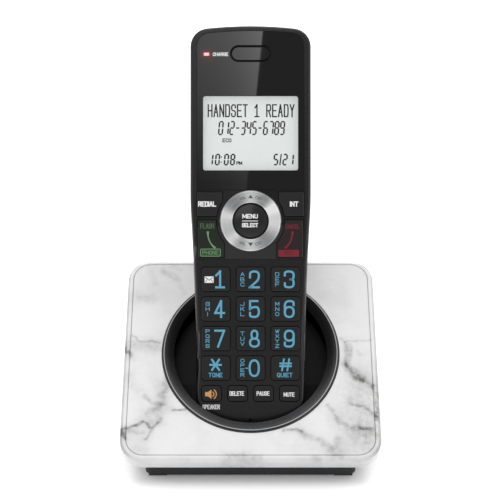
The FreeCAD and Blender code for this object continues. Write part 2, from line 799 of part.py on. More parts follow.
def rear_shell():
    """Rear half of the case with battery compartment, screw pillars, grille and contacts."""
    outer = rear_form("rear_outer", size(0))
    inner = rear_form("rear_inner", d.case_wall)
    hull = cut("rear_hull", outer, [inner])
    rim = d.cell_half + d.door_ledge + d.cell_wall
    housing = block(
        "cell_housing", "handset", -rim, rim, d.cell_bottom - d.door_ledge - d.cell_wall,
        d.cell_top + d.door_ledge + d.cell_wall, -d.handset_thickness + d.case_wall / 2, d.cell_wall - d.cell_depth,
    )
    pillars, tools = [], []
    for number, (x, y, back) in enumerate(screw_spots):
        low = -back + d.screw_sink
        pillars.append(
            rod(f"pillar_{number}", "handset", x, y, low - 1, -d.parting_depth - d.seat_gap, d.pillar_radius)
        )
        tools.append(rod(f"sink_{number}", "handset", x, y, -back - 3, low, d.head_radius + d.seat_gap))
        tools.append(rod(f"way_{number}", "handset", x, y, low - 1, size(0), d.screw_radius + d.fine_gap))
    solid = fuse("rear_solid", [hull, housing] + pillars)
    tools.append(
        block(
            "cell_space", "handset", -d.cell_half, d.cell_half, d.cell_bottom, d.cell_top, -FAR, -d.cell_depth
        )
    )
    ledge = d.door_ledge
    tools.append(
        block(
            "door_space", "handset", -d.cell_half - ledge, d.cell_half + ledge, d.cell_bottom - ledge,
            d.cell_top + ledge, -FAR, d.door_thickness + d.fine_gap - d.handset_thickness,
        )
    )
    for number in range(5):
        y = d.speaker_height + d.grille_pitch * (number - 2)
        half = d.grille_length / 2
        tools.append(
            block(
                f"slot_{number}", "handset", -half, half, y - d.grille_width / 2, y + d.grille_width / 2,
                -FAR, d.case_wall * 2 - d.handset_thickness,
            )
        )
    for side in (-1, 1):
        tools.append(
            side_block(
                f"contact_way_{side + 1}", "handset", d.contact_side * side, d.contact_width + d.fine_gap * 2,
                contact_outline(size(3), -3, d.fine_gap),
            )
        )
    keep(cut("rear_shell", solid, tools), "handset_rear_shell")


def contact_outline(inside, outside, grow=0):
    """Side view of a charging contact: square to the tapered back, from inside to outside of it."""
    low, high = d.contact_bottom - grow, d.contact_top + grow
    corners = [
        (low, -(back_at(low) - outside)), (high, -(back_at(high) - outside)),
        (high, -(back_at(high) - inside)), (low, -(back_at(low) - inside)),
    ]
    return corners, [None] * 4


def lens_and_bezel():
    """Clear display lens with a dark surround, and the glossy bezel round the navigation keys."""
    lens = new_body("lens_form", "handset")
    pad(
        lens, d.lens_thickness, level=-d.lens_thickness,
        outlines=[channel_outline(d.lens_bottom, d.lens_top, d.fine_gap)],
    )
    for hole in (ear_slot(), light_window(d.fine_gap)):
        pocket(lens, d.lens_thickness * 2, outlines=[hole])
    keep(lens, "display_lens")
    bezel = new_body("bezel_form", "handset")
    outline = channel_outline(d.channel_bottom, d.lens_bottom, d.fine_gap, square_top=True)
    pad(bezel, d.lens_thickness, outlines=[outline], level=-d.lens_thickness)
    for name in BEZEL_KEYS:
        pocket(bezel, d.lens_thickness * 2, outlines=[keys[name][0](d.key_gap)])
    pocket(
        bezel, d.lens_thickness * 2, circles=[(0, d.dial_height, d.dial_outer + d.dial_clearance)]
    )
    keep(bezel, "control_bezel")


def battery_door():
    """Flush door over the compartment; it lifts straight off the back."""
    body = new_body("door_form", "handset")
    ledge = d.door_ledge - d.fine_gap
    level = -d.handset_thickness
    half = d.cell_half + ledge
    plate = pad(
        body, d.door_thickness, level=level,
        outlines=[rectangle(-half, d.cell_bottom - ledge, half, d.cell_top + ledge)],
    )
    for number in range(3):
        y = d.cell_top - 6 - 3 * number
        pocket(
            body, d.door_thickness / 3, upwards=True, level=level,
            outlines=[stadium(0, y, d.cell_half / 2, size(0.6))],
        )
    keep(body, "battery_door")


# Inside the handset


def handset_insides():
    front = -d.face_wall - d.seat_gap
    glass = block(
        "lcd_glass", "handset", -d.lcd_half, d.lcd_half, d.window_bottom - d.lcd_margin,
        d.window_top + d.lcd_margin, front - d.lcd_thickness, front,
    )
    keep(glass, "lcd_module")
    guide = block(
        "light_guide", "handset", -d.lcd_half, d.lcd_half, d.window_bottom - d.lcd_margin,
        d.window_top + d.lcd_margin, front - d.lcd_thickness - d.backlight_thickness, front - d.lcd_thickness,
    )
    keep(guide, "lcd_backlight")
    bar = new_body("bar_form", "handset")
    pad(bar, -front - d.seat_gap, outlines=[ear_slot(d.ear_groove)], level=front)
    keep(bar, "earpiece_bar")
    receiver = rod(
        "receiver_form", "handset", 0, d.ear_height, front - d.receiver_thickness, front, d.receiver_radius
    )
    keep(receiver, "earpiece_receiver")
    capsule = rod(
        "capsule_form", "handset", 0, d.mic_height + 0.3, front - d.mic_thickness, front, d.mic_radius
    )
    keep(capsule, "microphone")
    pipe = new_body("pipe_form", "handset")
    depth = d.board_depth - d.seat_gap
    pad(pipe, depth, outlines=[light_window(size(0))], level=-depth)
    keep(pipe, "charge_light_pipe")

    board = new_body("board_form", "handset")
    sheet_outline = rectangle(-d.board_half, d.board_bottom, d.board_half, d.board_top, size(2))
    pad(board, d.board_thickness, outlines=[sheet_outline], level=-d.board_depth - d.board_thickness)
    pocket(
        board, d.board_thickness * 2, level=-d.board_depth,
        circles=[(x, y, d.pillar_radius + d.seat_gap) for x, y, back in screw_spots[:2]],
    )
    keep(board, "handset_circuit_board")
    mat = block(
        "mat_form", "handset", -d.board_half, d.board_half, d.board_bottom, d.soft_top + 1,
        -mat_top - d.mat_thickness, -mat_top,
    )
    keep(mat, "rubber_key_mat")
    spots = [spot for outline, spot in keys.values()] + [(0, d.dial_height)] + dial_presses
    domes = [
        rod(f"dome_{number}", "handset", x, y, -d.board_depth, d.dome_height - d.board_depth, d.dome_radius)
        for number, (x, y) in enumerate(spots)
    ]
    keep(group("domes_form", domes), "key_domes")

    behind = -d.board_depth - d.board_thickness
    strip = block(
        "strip_form", "handset", -d.strip_length / 2, d.strip_length / 2, d.board_top - 4, d.board_top - 1,
        behind - d.strip_thickness, behind,
    )
    keep(strip, "handset_antenna")
    wall = d.case_wall + d.seat_gap - d.handset_thickness
    speaker = rod(
        "speaker_form", "handset", 0, d.speaker_height, wall, wall + d.speaker_thickness, d.speaker_radius
    )
    keep(speaker, "handset_loudspeaker")
    pack = new_body("pack_form", "handset")
    middle = -d.cell_depth - d.seat_gap - d.pack_thickness / 2
    pad(
        pack, d.pack_length, level=-(d.cell_bottom + d.seat_gap + d.pack_length), plane="XZ",
        outlines=[stadium(0, middle, d.pack_width / 2, d.pack_thickness / 2)],
    )
    keep(pack, "battery_pack")
    end = d.cell_top - d.seat_gap
    plug = block(
        "plug_form", "handset", -d.plug_width / 2, d.plug_width / 2, end - d.plug_length, end,
        -d.cell_depth - d.seat_gap - d.plug_height, -d.cell_depth - d.seat_gap,
    )
    keep(plug, "battery_plug")
    contacts = [
        side_block(
            f"handset_contact_{side + 1}", "handset", d.contact_side * side, d.contact_width,
            contact_outline(d.case_wall * 2, size(0)),
        )
        for side in (-1, 1)
    ]
    keep(group("handset_contacts", contacts), "handset_charge_contacts")
    screws = [
        screw(f"handset_screw_{number}", "handset", x, y, -back + d.screw_sink, -d.face_wall - 2)
        for number, (x, y, back) in enumerate(screw_spots)
    ]
    keep(group("handset_screw_group", screws), "handset_screws")


def screw(name, frame, x, y, seat, tip):
    """A pan head screw whose head lies against a seat and whose shank ends at a tip."""
    head = rod(name + "_head", frame, x, y, seat - d.head_height, seat, d.head_radius)
    shank = rod(name + "_shank", frame, x, y, seat - d.head_height / 2, tip, d.screw_radius)
    return fuse(name, [head, shank])


# Round keys


def menu_key():
    """Domed centre key on a stepped stem."""
    body = new_body("menu_form", "handset")
    low = -plunger_tip
    flange_low = -d.menu_flange_depth - 0.6
    shoulder = d.menu_rise * 0.35
    dome = swept_radius(d.menu_rise - shoulder, d.menu_radius)
    corners = [
        (size(0), low), (d.plunger_radius, low), (d.plunger_radius, flange_low),
        (d.menu_flange, flange_low), (d.menu_flange, -d.menu_flange_depth),
        (d.menu_radius, -d.menu_flange_depth), (d.menu_radius, shoulder), (size(0), d.menu_rise),
    ]
    revolve(body, (corners, [None] * 6 + [dome, None]), d.dial_height)
    keep(body, "menu_select_key")


def navigation_ring():
    """Rocking ring with rounded edges, a retaining lip with side pivots and two presser posts."""
    body = new_body("dial_form", "handset")
    low, lip_top = -d.dial_depth, -d.dial_lip_depth
    lip = d.dial_outer + d.dial_lip
    soft = d.dial_rise * 0.5
    corners = [
        (d.dial_inner, low), (lip, low), (lip, lip_top), (d.dial_outer, lip_top),
        (d.dial_outer, d.dial_rise - soft), (d.dial_outer - soft, d.dial_rise),
        (d.dial_inner + soft, d.dial_rise), (d.dial_inner, d.dial_rise - soft),
    ]
    revolve(body, (corners, [None] * 4 + [soft, None, soft, None]), d.dial_height)
    pad(
        body, plunger_tip - d.dial_depth, level=-plunger_tip,
        circles=[(x, y, size(1.2)) for x, y in dial_presses],
    )
    pivot = (d.dial_height, -d.dial_pivot_depth, d.dial_pivot)
    inner, outer = d.dial_inner + 1, d.dial_outer + d.dial_pivot_length
    for start in (inner, -outer):
        pad(body, outer - inner, circles=[pivot], level=start, plane="YZ")
    keep(body, "navigation_ring")


# Charging base


def plate_outline(inset, radius):
    half = d.plate_width / 2 - inset
    return rectangle(-half, inset - d.plate_front, half, d.plate_rear - inset, radius)


base_screw_spots = [
    (side * d.boss_side, along) for along in (-d.boss_front, d.boss_rear) for side in (-1, 1)
]


def marble_housing():
    """Square plate with bevelled top edge and hanging skirt, open below, with four screw bosses."""
    body = new_body("plate_form", "plate")
    slab = pad(body, d.plate_skirt, outlines=[plate_outline(size(0), d.plate_corner)], level=-d.plate_skirt)
    bevel_edges(body, slab, at_level(0), d.plate_bevel)
    pocket(
        body, d.plate_skirt - d.plate_wall, upwards=True, level=-d.plate_skirt,
        outlines=[plate_outline(d.plate_wall, d.plate_corner - d.plate_wall)],
    )
    pocket(body, d.inlay_thickness, outlines=[inlay_outline(size(0))])
    pocket(body, d.plate_wall * 2, circles=[(0, 0, d.plate_hole)])
    tray_top = -d.plate_skirt + d.tray_thickness
    pad(
        body, -d.plate_wall - tray_top - 0.1, level=tray_top + 0.1,
        circles=[(x, y, d.boss_radius) for x, y in base_screw_spots],
    )
    pocket(
        body, -d.plate_wall - tray_top - 0.1, upwards=True, level=tray_top + 0.1,
        circles=[(x, y, d.screw_radius + 0.05) for x, y in base_screw_spots],
    )
    keep(body, "marble_housing")


def inlay_outline(clear):
    inset = d.inlay_inset + clear
    return plate_outline(inset, d.plate_corner - inset)


def marble_faceplate():
    """Thin plate let into the housing, flush with its top."""
    body = new_body("inlay_form", "plate")
    pad(body, d.inlay_thickness, outlines=[inlay_outline(d.fine_gap)], level=-d.inlay_thickness)
    pocket(body, d.inlay_thickness * 2, circles=[(0, 0, d.plate_hole)])
    keep(body, "marble_faceplate")


def trim_ring():
    """Glossy ring round the well: a crest, a gently rounded lip inwards and a locating skirt."""
    body = new_body("ring_form", "plate")
    skirt = d.plate_hole - d.seat_gap
    corners = [
        (d.ring_inner, -d.ring_depth), (skirt, -d.ring_depth), (skirt, size(0)), (d.ring_outer, size(0)),
        (d.ring_crest, d.ring_rise), (d.ring_inner, -d.ring_fall),
    ]
    revolve(body, (corners, [None, None, None, d.ring_edge, d.ring_crown, None]), size(0))
    keep(body, "cradle_trim_ring")


def well_prism(name, radius, level, frame_lift=0):
    """A round prism that drops upright from the sloping plate."""
    body = new_body(name, "plate")
    drop = pad(body, FAR, circles=[(0, 0, radius)], level=level)
    drop.UseCustomVector = True
    drop.AlongSketchNormal = False
    drop.Direction = FreeCAD.Vector(0, -0.5, -0.9)
    bind(drop, "Direction.y", -sine(d.slope_angle))
    bind(drop, "Direction.z", -cosine(d.slope_angle))
    return body


def seen_from_handset(up_plate, above_plate):
    """A point of the plate's middle section in the handset's own height and depth."""
    y = up_plate * cosine(d.slope_angle) - above_plate * sine(d.slope_angle) + d.foot_setback
    z = up_plate * sine(d.slope_angle) + above_plate * cosine(d.slope_angle) + d.foot_drop
    height = y * sine(d.lean_angle) + z * cosine(d.lean_angle)
    return height, z * sine(d.lean_angle) - y * cosine(d.lean_angle)


def seat_wedge(name, clear, wall):
    """All above the seat and in front of the back-rest, which bends back to the well's rear."""
    low = -clear - wall
    front = d.plate_front
    rear = seen_from_handset(d.plate_hole * 1.5, -d.well_shoulder - wall)
    shoulder = seen_from_handset(d.plate_hole, -d.well_shoulder - wall)
    high = seen_from_handset(d.plate_hole * 1.5, size(FAR))
    corners = [
        (low, front), (low, -back_at(low, clear + wall)),
        (d.rest_height, -back_at(d.rest_height, clear + wall)), shoulder, rear, high, (high[0], front),
    ]
    return side_block(name, "handset", size(0), d.plate_width, (corners, [None] * 7))


def cradle_well():
    """The cup: upright round wall, a seat square to the handset and a back-rest along its back."""
    rim = -d.plate_wall - d.seat_gap
    outer = common(
        "well_outer", well_prism("well_outer_prism", d.well_radius + d.well_wall, rim),
        seat_wedge("well_outer_wedge", d.seat_gap, d.well_wall),
    )
    space = common(
        "well_space", well_prism("well_space_prism", d.well_radius, rim + 1),
        seat_wedge("well_space_wedge", d.seat_gap, size(0)),
    )
    ways = [
        side_block(
            f"spring_way_{side + 1}", "handset", d.contact_side * side, d.contact_width + d.fine_gap * 2,
            contact_outline(size(0), -(d.seat_gap + d.well_wall * 2), d.fine_gap),
        )
        for side in (-1, 1)
    ]
    keep(cut("well_form", outer, [space] + ways), "cradle_well")
    springs = [
        side_block(
            f"base_spring_{side + 1}", "handset", d.contact_side * side, d.contact_width,
            contact_outline(-d.seat_gap / 3, -(d.seat_gap + d.well_wall * 2)),
        )
        for side in (-1, 1)
    ]
    keep(group("base_springs", springs), "base_charge_contacts")


def tub_prism(name, inset, low, high):
    """The upright walls of the bottom shell as a rounded block."""
    body = new_body(name, "world")
    half = d.tub_width / 2 - inset
    form = pad(
        body, high - low, level=low,
        outlines=[
            rectangle(
                -half, well_y - d.tub_front + inset, half, well_y + d.tub_rear - inset, d.tub_corner - inset
            )
        ],
    )
    return body, form


floor_top = d.pad_height + d.tub_floor
board_top = d.base_board_height + d.board_thickness
wall_y = well_y + d.tub_rear
jack_front = wall_y - d.fine_gap - d.jack_depth
half_jacks = d.jack_spacing / 2


def pad_spots():
    x = d.tub_width / 2 - d.pad_inset - d.pad_width / 2
    front = well_y - d.tub_front + d.pad_inset + d.pad_length / 2
    rear = well_y + d.tub_rear - d.pad_inset - d.pad_length / 2
    return [(side * x, y) for y in (front, rear) for side in (-1, 1)]


def jack_block(name, x, width, height, grow, y0, y1):
    """Room for a jack on the base board."""
    return block(
        name, "world", x - width / 2 - grow, x + width / 2 + grow, y0, y1, board_top - grow, board_top + height + grow
    )


def bottom_shell():
    """Dark tub under the plate: sloping flange above, floor with feet below, openings at the rear."""
    body, form = tub_prism("tub_outer", size(0), d.pad_height, d.well_height * 3)
    bevel_edges(body, form, at_level(d.pad_height), d.tub_bevel)
    above = block(
        "above_plate", "plate", -FAR, FAR, -FAR, FAR, -d.plate_skirt, size(FAR)
    )
    wedge = cut("tub_wedge", body, [above])
    tray = new_body("tray_form", "plate")
    margin = d.plate_wall + d.seat_gap
    pad(
        tray, d.tray_thickness, level=-d.plate_skirt,
        outlines=[plate_outline(margin, d.plate_corner - margin)],
    )
    space, unused = tub_prism("tub_space", d.tub_wall, floor_top, d.well_height * 3)
    hull = cut("tub_hull", fuse("tub_and_tray", [wedge, tray]), [space])
    posts = [
        rod(f"post_{number}", "world", x, y, floor_top - 0.5, d.base_board_height - 0.1, d.post_radius)
        for number, (x, y) in enumerate(post_spots())
    ]
    solid = fuse("tub_solid", [hull] + posts)
    tools = [
        jack_block(
            "line_way", -half_jacks, d.line_jack_width, d.line_jack_height, d.fine_gap, wall_y - 5, wall_y + 5
        ),
        jack_block(
            "power_way", half_jacks, d.power_jack_width, d.power_jack_height, d.fine_gap, wall_y - 5, wall_y + 5
        ),
        rod_back("find_way", 0, d.find_key_height, wall_y - 5, wall_y + 5, d.find_key_radius + d.key_gap),
    ]
    for number, (x, y) in enumerate(pad_spots()):
        tools.append(foot_block(f"foot_way_{number}", x, y, size(-1), d.pad_height + d.pad_recess, d.fine_gap))
    for number, (x, y) in enumerate(base_screw_spots):
        low = -d.plate_skirt
        tools.append(
            rod(f"tray_way_{number}", "plate", x, y, low - 2, low + d.tray_thickness + 1, d.screw_radius + d.fine_gap)
        )
    keep(cut("tub_form", solid, tools), "base_bottom_shell")


def foot_block(name, x, y, low, high, grow):
    return block(
        name, "world", x - d.pad_width / 2 - grow, x + d.pad_width / 2 + grow,
        y - d.pad_length / 2 - grow, y + d.pad_length / 2 + grow, low, high,
    )


def post_spots():
    half = d.base_board_width / 2 - 4
    front = well_y - d.base_board_front + 4
    return [(side * half, y) for y in (front, wall_y - d.tub_wall - 5) for side in (-1, 1)]


def base_insides():
    """Board, jacks, antenna, screws and feet of the base."""
    half = d.base_board_width / 2
    rear = wall_y - d.tub_wall - d.seat_gap
    board = block(
        "base_board_form", "world", -half, half, well_y - d.base_board_front, rear,
        d.base_board_height, board_top,
    )
    keep(board, "base_circuit_board")
    line_body = jack_block(
        "line_jack_body", -half_jacks, d.line_jack_width, d.line_jack_height, size(0), jack_front,
        wall_y - d.fine_gap,
    )
    middle = board_top + d.line_jack_height / 2
    port = block(
        "line_port", "world", -half_jacks - d.line_port_width / 2, -half_jacks + d.line_port_width / 2,
        wall_y - d.line_port_depth, wall_y + 5, middle - d.line_port_height / 2, middle + d.line_port_height / 2,
    )
    keep(cut("line_jack_form", line_body, [port]), "telephone_line_jack")
    power_body = jack_block(
        "power_jack_body", half_jacks, d.power_jack_width, d.power_jack_height, size(0), jack_front,
        wall_y - d.fine_gap,
    )
    centre = board_top + d.power_jack_height / 2
    bore = rod_back("power_bore_form", half_jacks, centre, wall_y - d.power_depth, wall_y + 5, d.power_bore)
    pin = rod_back(
        "power_pin_form", half_jacks, centre, wall_y - d.power_depth - 1, wall_y - d.fine_gap * 4, d.power_pin
    )
    keep(fuse("power_jack_form", [cut("power_socket", power_body, [bore]), pin]), "power_jack")
    antenna = block(
        "base_strip", "world", 8 - half, 8 - half + d.strip_thickness, rear - 4, rear - 1,
        board_top, board_top + d.strip_length,
    )
    keep(antenna, "base_antenna")
    stop = wall_y - d.tub_wall - d.flange_gap
    collar = rod_back("find_collar", 0, d.find_key_height, stop - 1, stop, d.find_key_radius + 0.8)
    button = rod_back("find_cap", 0, d.find_key_height, stop - 1, wall_y + d.find_key_rise, d.find_key_radius)
    plunger = rod_back("find_plunger", 0, d.find_key_height, stop - 2, stop, d.plunger_radius)
    keep(fuse("find_key_form", [collar, button, plunger]), "find_handset_key")
    switch_y = stop - 2 - d.key_travel - d.contact_gap
    switch = block(
        "switch_form", "world", -3, size(3), switch_y - 3.5, switch_y, board_top, d.find_key_height + 2.5
    )
    keep(switch, "find_key_switch")
    screws = [
        screw(f"base_screw_{number}", "plate", x, y, -d.plate_skirt, -d.plate_wall - d.seat_gap)
        for number, (x, y) in enumerate(base_screw_spots)
    ]
    keep(group("base_screw_group", screws), "base_screws")
    feet = [
        foot_block(f"foot_{number}", x, y, size(0), d.pad_height + d.pad_recess, size(0))
        for number, (x, y) in enumerate(pad_spots())
    ]
    keep(group("feet_form", feet), "rubber_feet")


front_shell()
rear_shell()
lens_and_bezel()
battery_door()
handset_insides()
for key_name, (key_outline, key_spot) in keys.items():
    sprung_key(key_name, key_outline, key_spot)
menu_key()
navigation_ring()
marble_housing()
marble_faceplate()
trim_ring()
cradle_well()
bottom_shell()
base_insides()
doc.recompute()

# Nothing is written unless every object is sound

for thing in doc.Objects:
    if "Invalid" in thing.State or "Error" in thing.State:
        raise RuntimeError(f"{thing.Label} failed: {thing.State}")
    if thing.TypeId == "PartDesign::Pocket":
        if thing.Shape.Volume > thing.BaseFeature.Shape.Volume - 1e-3:
            raise RuntimeError(f"{thing.Label} cuts nothing")

for name, thing in parts.items():
    if thing.Shape.isNull() or not thing.Shape.isValid() or not thing.Shape.Solids:
        raise RuntimeError(f"{name} has no sound solid")

os.makedirs("parts", exist_ok=True)
whole = FreeCAD.BoundBox()
for name, thing in parts.items():
    whole.add(thing.Shape.optimalBoundingBox(False, False))
    thing.Shape.exportStep(f"parts/{name}.step")
    print(f"{name}: {len(thing.Shape.Solids)} solid(s), {thing.Shape.Volume:.1f} mm3")
print(f"{len(parts)} sub-parts, x {whole.XMin:.2f}..{whole.XMax:.2f}, "
      f"y {whole.YMin:.2f}..{whole.YMax:.2f}, z {whole.ZMin:.2f}..{whole.ZMax:.2f}")
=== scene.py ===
from math import cos, pi, radians, sin

import bpy
import numpy as np
from mathutils import Matrix, Vector


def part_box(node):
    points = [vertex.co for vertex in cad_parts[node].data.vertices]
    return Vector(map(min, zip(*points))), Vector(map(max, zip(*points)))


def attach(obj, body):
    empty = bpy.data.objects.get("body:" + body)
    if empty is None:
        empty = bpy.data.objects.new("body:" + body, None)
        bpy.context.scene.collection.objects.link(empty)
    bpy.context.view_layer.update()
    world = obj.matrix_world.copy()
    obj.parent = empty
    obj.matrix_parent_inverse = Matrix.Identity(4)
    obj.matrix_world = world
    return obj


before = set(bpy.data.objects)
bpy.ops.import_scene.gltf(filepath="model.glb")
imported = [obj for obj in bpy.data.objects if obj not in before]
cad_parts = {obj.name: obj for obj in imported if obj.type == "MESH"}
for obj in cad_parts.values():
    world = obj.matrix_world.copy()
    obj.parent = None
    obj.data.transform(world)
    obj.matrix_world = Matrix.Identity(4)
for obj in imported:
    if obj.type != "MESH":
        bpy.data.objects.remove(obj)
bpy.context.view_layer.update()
MM = 0.001

# The phone's two tilted frames, as in the CAD. The plate's starts at the well's middle, and the
# handset's at the middle of its foot: x across, y up, z outwards.

SLOPE = radians(29.5)
LEAN = radians(28.0)
WELL_HEIGHT = 37.5 * MM
FOOT_SETBACK = 23.65 * MM
FOOT_DROP = 23.6 * MM
ring_low, ring_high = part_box("cradle_trim_ring")
WELL = Vector((0.0, (ring_low[1] + ring_high[1]) / 2, WELL_HEIGHT))
FOOT = WELL - Vector((0.0, FOOT_SETBACK, FOOT_DROP))
PLATE_TURN = (SLOPE, 0.0, 0.0)
HANDSET_TURN = (pi / 2 - LEAN, 0.0, 0.0)
HANDSET = Matrix.Translation(FOOT) @ Matrix.Rotation(HANDSET_TURN[0], 4, "X")

# Heights on the handset from its foot, and half widths, in millimetres

DIAL_UP = 85.1
WINDOW_HALF = 19.1
WINDOW_UP = (105.4, 135.3)
WINDOW_CORNER = 1.0
LIGHT_SIDE = 17.7
LIGHT_UP = 152.0

# Levels out of the handset's face that ink is printed on, and the ink's own heights

KEY_TOP = 0.9
MENU_TOP = 1.3
RING_TOP = 1.0
FACE = 0.0
LENS_TOP = 0.0
GLASS_TOP = -2.3
INK = 0.03
INK_SUNK = 0.01
INK_STEP = 0.004
OVERPRINT = 0.03

# Camera: it looks square on to the handset's face, which leans back as far as it looks down.

CAMERA_PITCH = LEAN
FOCAL_PIXELS = 1400.0
PHOTO_PIXELS = 500.0
SENSOR = 36.0
CAMERA_BACK = 571.0 * MM
CAMERA_ABOVE = 41.52 * MM
CAMERA_ASIDE = -0.24 * MM

# Lights: where each soft box stands, its sides in metres and its brightness, of which 1 is the
# white of the page. All face the phone's middle.

LAMPS = {
    "overhead_light": ((0.0, 0.1, 1.0), 0.9, 0.7, 0.4),
    "rear_light": ((0.15, 0.9, 0.9), 1.2, 0.3, 4.5),
    "right_light": ((0.75, -0.7, 0.3), 0.3, 0.8, 0.6),
    "front_light": ((0.0, -1.4, 0.35), 1.6, 0.5, 0.25),
}
LAMP_TARGET = (0.0, 0.0, 0.05)


def aim(thing, spot, target):
    """Places a lamp or camera at a spot and points its -Z axis at a target."""
    turn = (Vector(target) - Vector(spot)).to_track_quat("-Z", "Y").to_matrix().to_4x4()
    thing.matrix_world = Matrix.Translation(spot) @ turn


def add_camera():
    """Camera at the photograph's angle, back from the well along its view and a little above."""
    data = bpy.data.cameras.new("photo_camera")
    data.sensor_width = SENSOR
    data.lens = SENSOR * FOCAL_PIXELS / PHOTO_PIXELS
    camera = bpy.data.objects.new("photo_camera", data)
    bpy.context.scene.collection.objects.link(camera)
    ahead = Vector((0.0, cos(CAMERA_PITCH), -sin(CAMERA_PITCH)))
    above = Vector((0.0, sin(CAMERA_PITCH), cos(CAMERA_PITCH)))
    spot = WELL - ahead * CAMERA_BACK + above * CAMERA_ABOVE + Vector((CAMERA_ASIDE, 0.0, 0.0))
    aim(camera, spot, spot + ahead)
    bpy.context.scene.camera = camera


def add_lamps():
    """Soft boxes whose power is their brightness times pi times their area."""
    for name, (spot, width, height, level) in LAMPS.items():
        data = bpy.data.lights.new(name, "AREA")
        data.shape = "RECTANGLE"
        data.size = width
        data.size_y = height
        data.energy = level * pi * width * height
        lamp = bpy.data.objects.new(name, data)
        bpy.context.scene.collection.objects.link(lamp)
        aim(lamp, spot, LAMP_TARGET)


def on_face(x, up, out):
    """A point given in millimetres across, up and out of the handset's face."""
    return HANDSET @ Vector((x * MM, up * MM, out * MM))


def flat_mesh(name, points, faces):
    """A mesh piece from its points in metres and its faces."""
    mesh = bpy.data.meshes.new(name)
    mesh.from_pydata([tuple(point) for point in points], [], faces)
    piece = bpy.data.objects.new(name, mesh)
    bpy.context.scene.collection.objects.link(piece)
    return piece


# Materials: sums on sockets, and one builder for each finish


def srgb(red, green, blue):
    """Screen levels from 0 to 255 as the linear colour that a shader takes."""
    levels = np.array([red, green, blue]) / 255.0
    linear = np.where(levels > 0.04045, ((levels + 0.055) / 1.055) ** 2.4, levels / 12.92)
    return (*[float(value) for value in linear], 1.0)


class Reading:
    """A node's number output in a sum: each operator adds one Math node."""

    def __init__(self, finish, socket):
        self.finish = finish
        self.socket = socket

    def math(self, operation, *terms):
        return self.finish.math(operation, *terms)

    def __add__(self, other):
        return self.math("ADD", self, other)

    __radd__ = __add__

    def __sub__(self, other):
        return self.math("SUBTRACT", self, other)

    def __rsub__(self, other):
        return self.math("SUBTRACT", other, self)

    def __mul__(self, other):
        return self.math("MULTIPLY", self, other)

    __rmul__ = __mul__

    def __truediv__(self, other):
        return self.math("DIVIDE", self, other)

    def __pow__(self, other):
        return self.math("POWER", self, other)

    def size(self):
        return self.math("ABSOLUTE", self)

    def lesser(self, other):
        return self.math("MINIMUM", self, other)

    def greater(self, other):
        return self.math("MAXIMUM", self, other)

    def fade(self, near, far):
        """1 below near, 0 above far, and a smooth fall between."""
        settings = {"interpolation_type": "SMOOTHSTEP"}
        values = {"Value": self, "From Min": near, "From Max": far, "To Min": 1.0, "To Max": 0.0}
        return self.finish.reading("ShaderNodeMapRange", settings, values, "Result")


class Shading:
    """A shader being made: its node tree and the ways to add nodes to it."""

    def __init__(self, owner, shader):
        owner.use_nodes = True
        self.tree = owner.node_tree
        self.shader = self.tree.nodes[shader]

    def put(self, socket, value):
        """Sets or links one of the main shader's sockets."""
        self.feed(self.shader.inputs[socket], value)

    def feed(self, entry, value):
        """Links a reading or an output to an input, or sets a plain value there."""
        if isinstance(value, Reading):
            value = value.socket
        if isinstance(value, bpy.types.NodeSocket):
            self.tree.links.new(value, entry)
        else:
            entry.default_value = value

    def node(self, kind, settings, values):
        """One node: its settings first, then the values or links of its sockets."""
        node = self.tree.nodes.new(kind)
        for name, value in settings.items():
            setattr(node, name, value)
        for name, value in values.items():
            self.feed(node.inputs[name], value)
        return node

    def reading(self, kind, settings, values, output):
        """The number that one new node gives."""
        return Reading(self, self.node(kind, settings, values).outputs[output])

    def math(self, operation, *terms):
        values = dict(enumerate(terms))
        return self.reading("ShaderNodeMath", {"operation": operation}, values, "Value")

    def vector(self, operation, *terms):
        """The outputs of one Vector Math node."""
        values = dict(enumerate(terms))
        return self.node("ShaderNodeVectorMath", {"operation": operation}, values).outputs

    def coordinates(self, origin, turn, stretch=(1.0, 1.0, 1.0)):
        """The piece's own coordinates in millimetres, seen from a frame's origin and turn."""
        source = self.node("ShaderNodeTexCoord", {}, {}).outputs["Object"]
        values = {
            "Vector": source,
            "Location": tuple(origin),
            "Rotation": turn,
            "Scale": tuple(MM * part for part in stretch),
        }
        mapping = self.node("ShaderNodeMapping", {"vector_type": "TEXTURE"}, values)
        return mapping.outputs["Vector"]

    def parts(self, vector):
        """The three numbers of a vector."""
        outputs = self.node("ShaderNodeSeparateXYZ", {}, {"Vector": vector}).outputs
        return [Reading(self, outputs[axis]) for axis in "XYZ"]

    def noise(self, vector, scale, detail=3.0, roughness=0.5):
        """Smooth noise about a half; its scale is in waves to the millimetre."""
        values = {"Vector": vector, "Scale": scale, "Detail": detail, "Roughness": roughness}
        return self.reading("ShaderNodeTexNoise", {}, values, "Fac")

    def blend(self, share, first, second):
        """The first colour where the share is 0 and the second where it is 1."""
        node = self.node("ShaderNodeMix", {"data_type": "RGBA"}, {0: share})
        self.feed(node.inputs[6], first)
        self.feed(node.inputs[7], second)
        return node.outputs[2]


class Finish(Shading):
    """A material being made, with plain values for its shader's other sockets."""

    def __init__(self, name, colour, roughness, **plain):
        self.material = bpy.data.materials.new(name)
        super().__init__(self.material, "Principled BSDF")
        self.put("Base Color", colour)
        self.put("Roughness", roughness)
        for socket, value in plain.items():
            self.put(socket.replace("_", " "), value)

    def relief(self, height, depth):
        """Fine bumps from a height between 0 and 1 and a depth in millimetres."""
        values = {"Height": height, "Distance": depth * MM, "Strength": 1.0}
        self.put("Normal", self.node("ShaderNodeBump", {}, values).outputs["Normal"])


# Finishes. Scales are in waves to the millimetre, and depths of relief in millimetres. Patterns
# without a frame of their own start at the middle of the table.

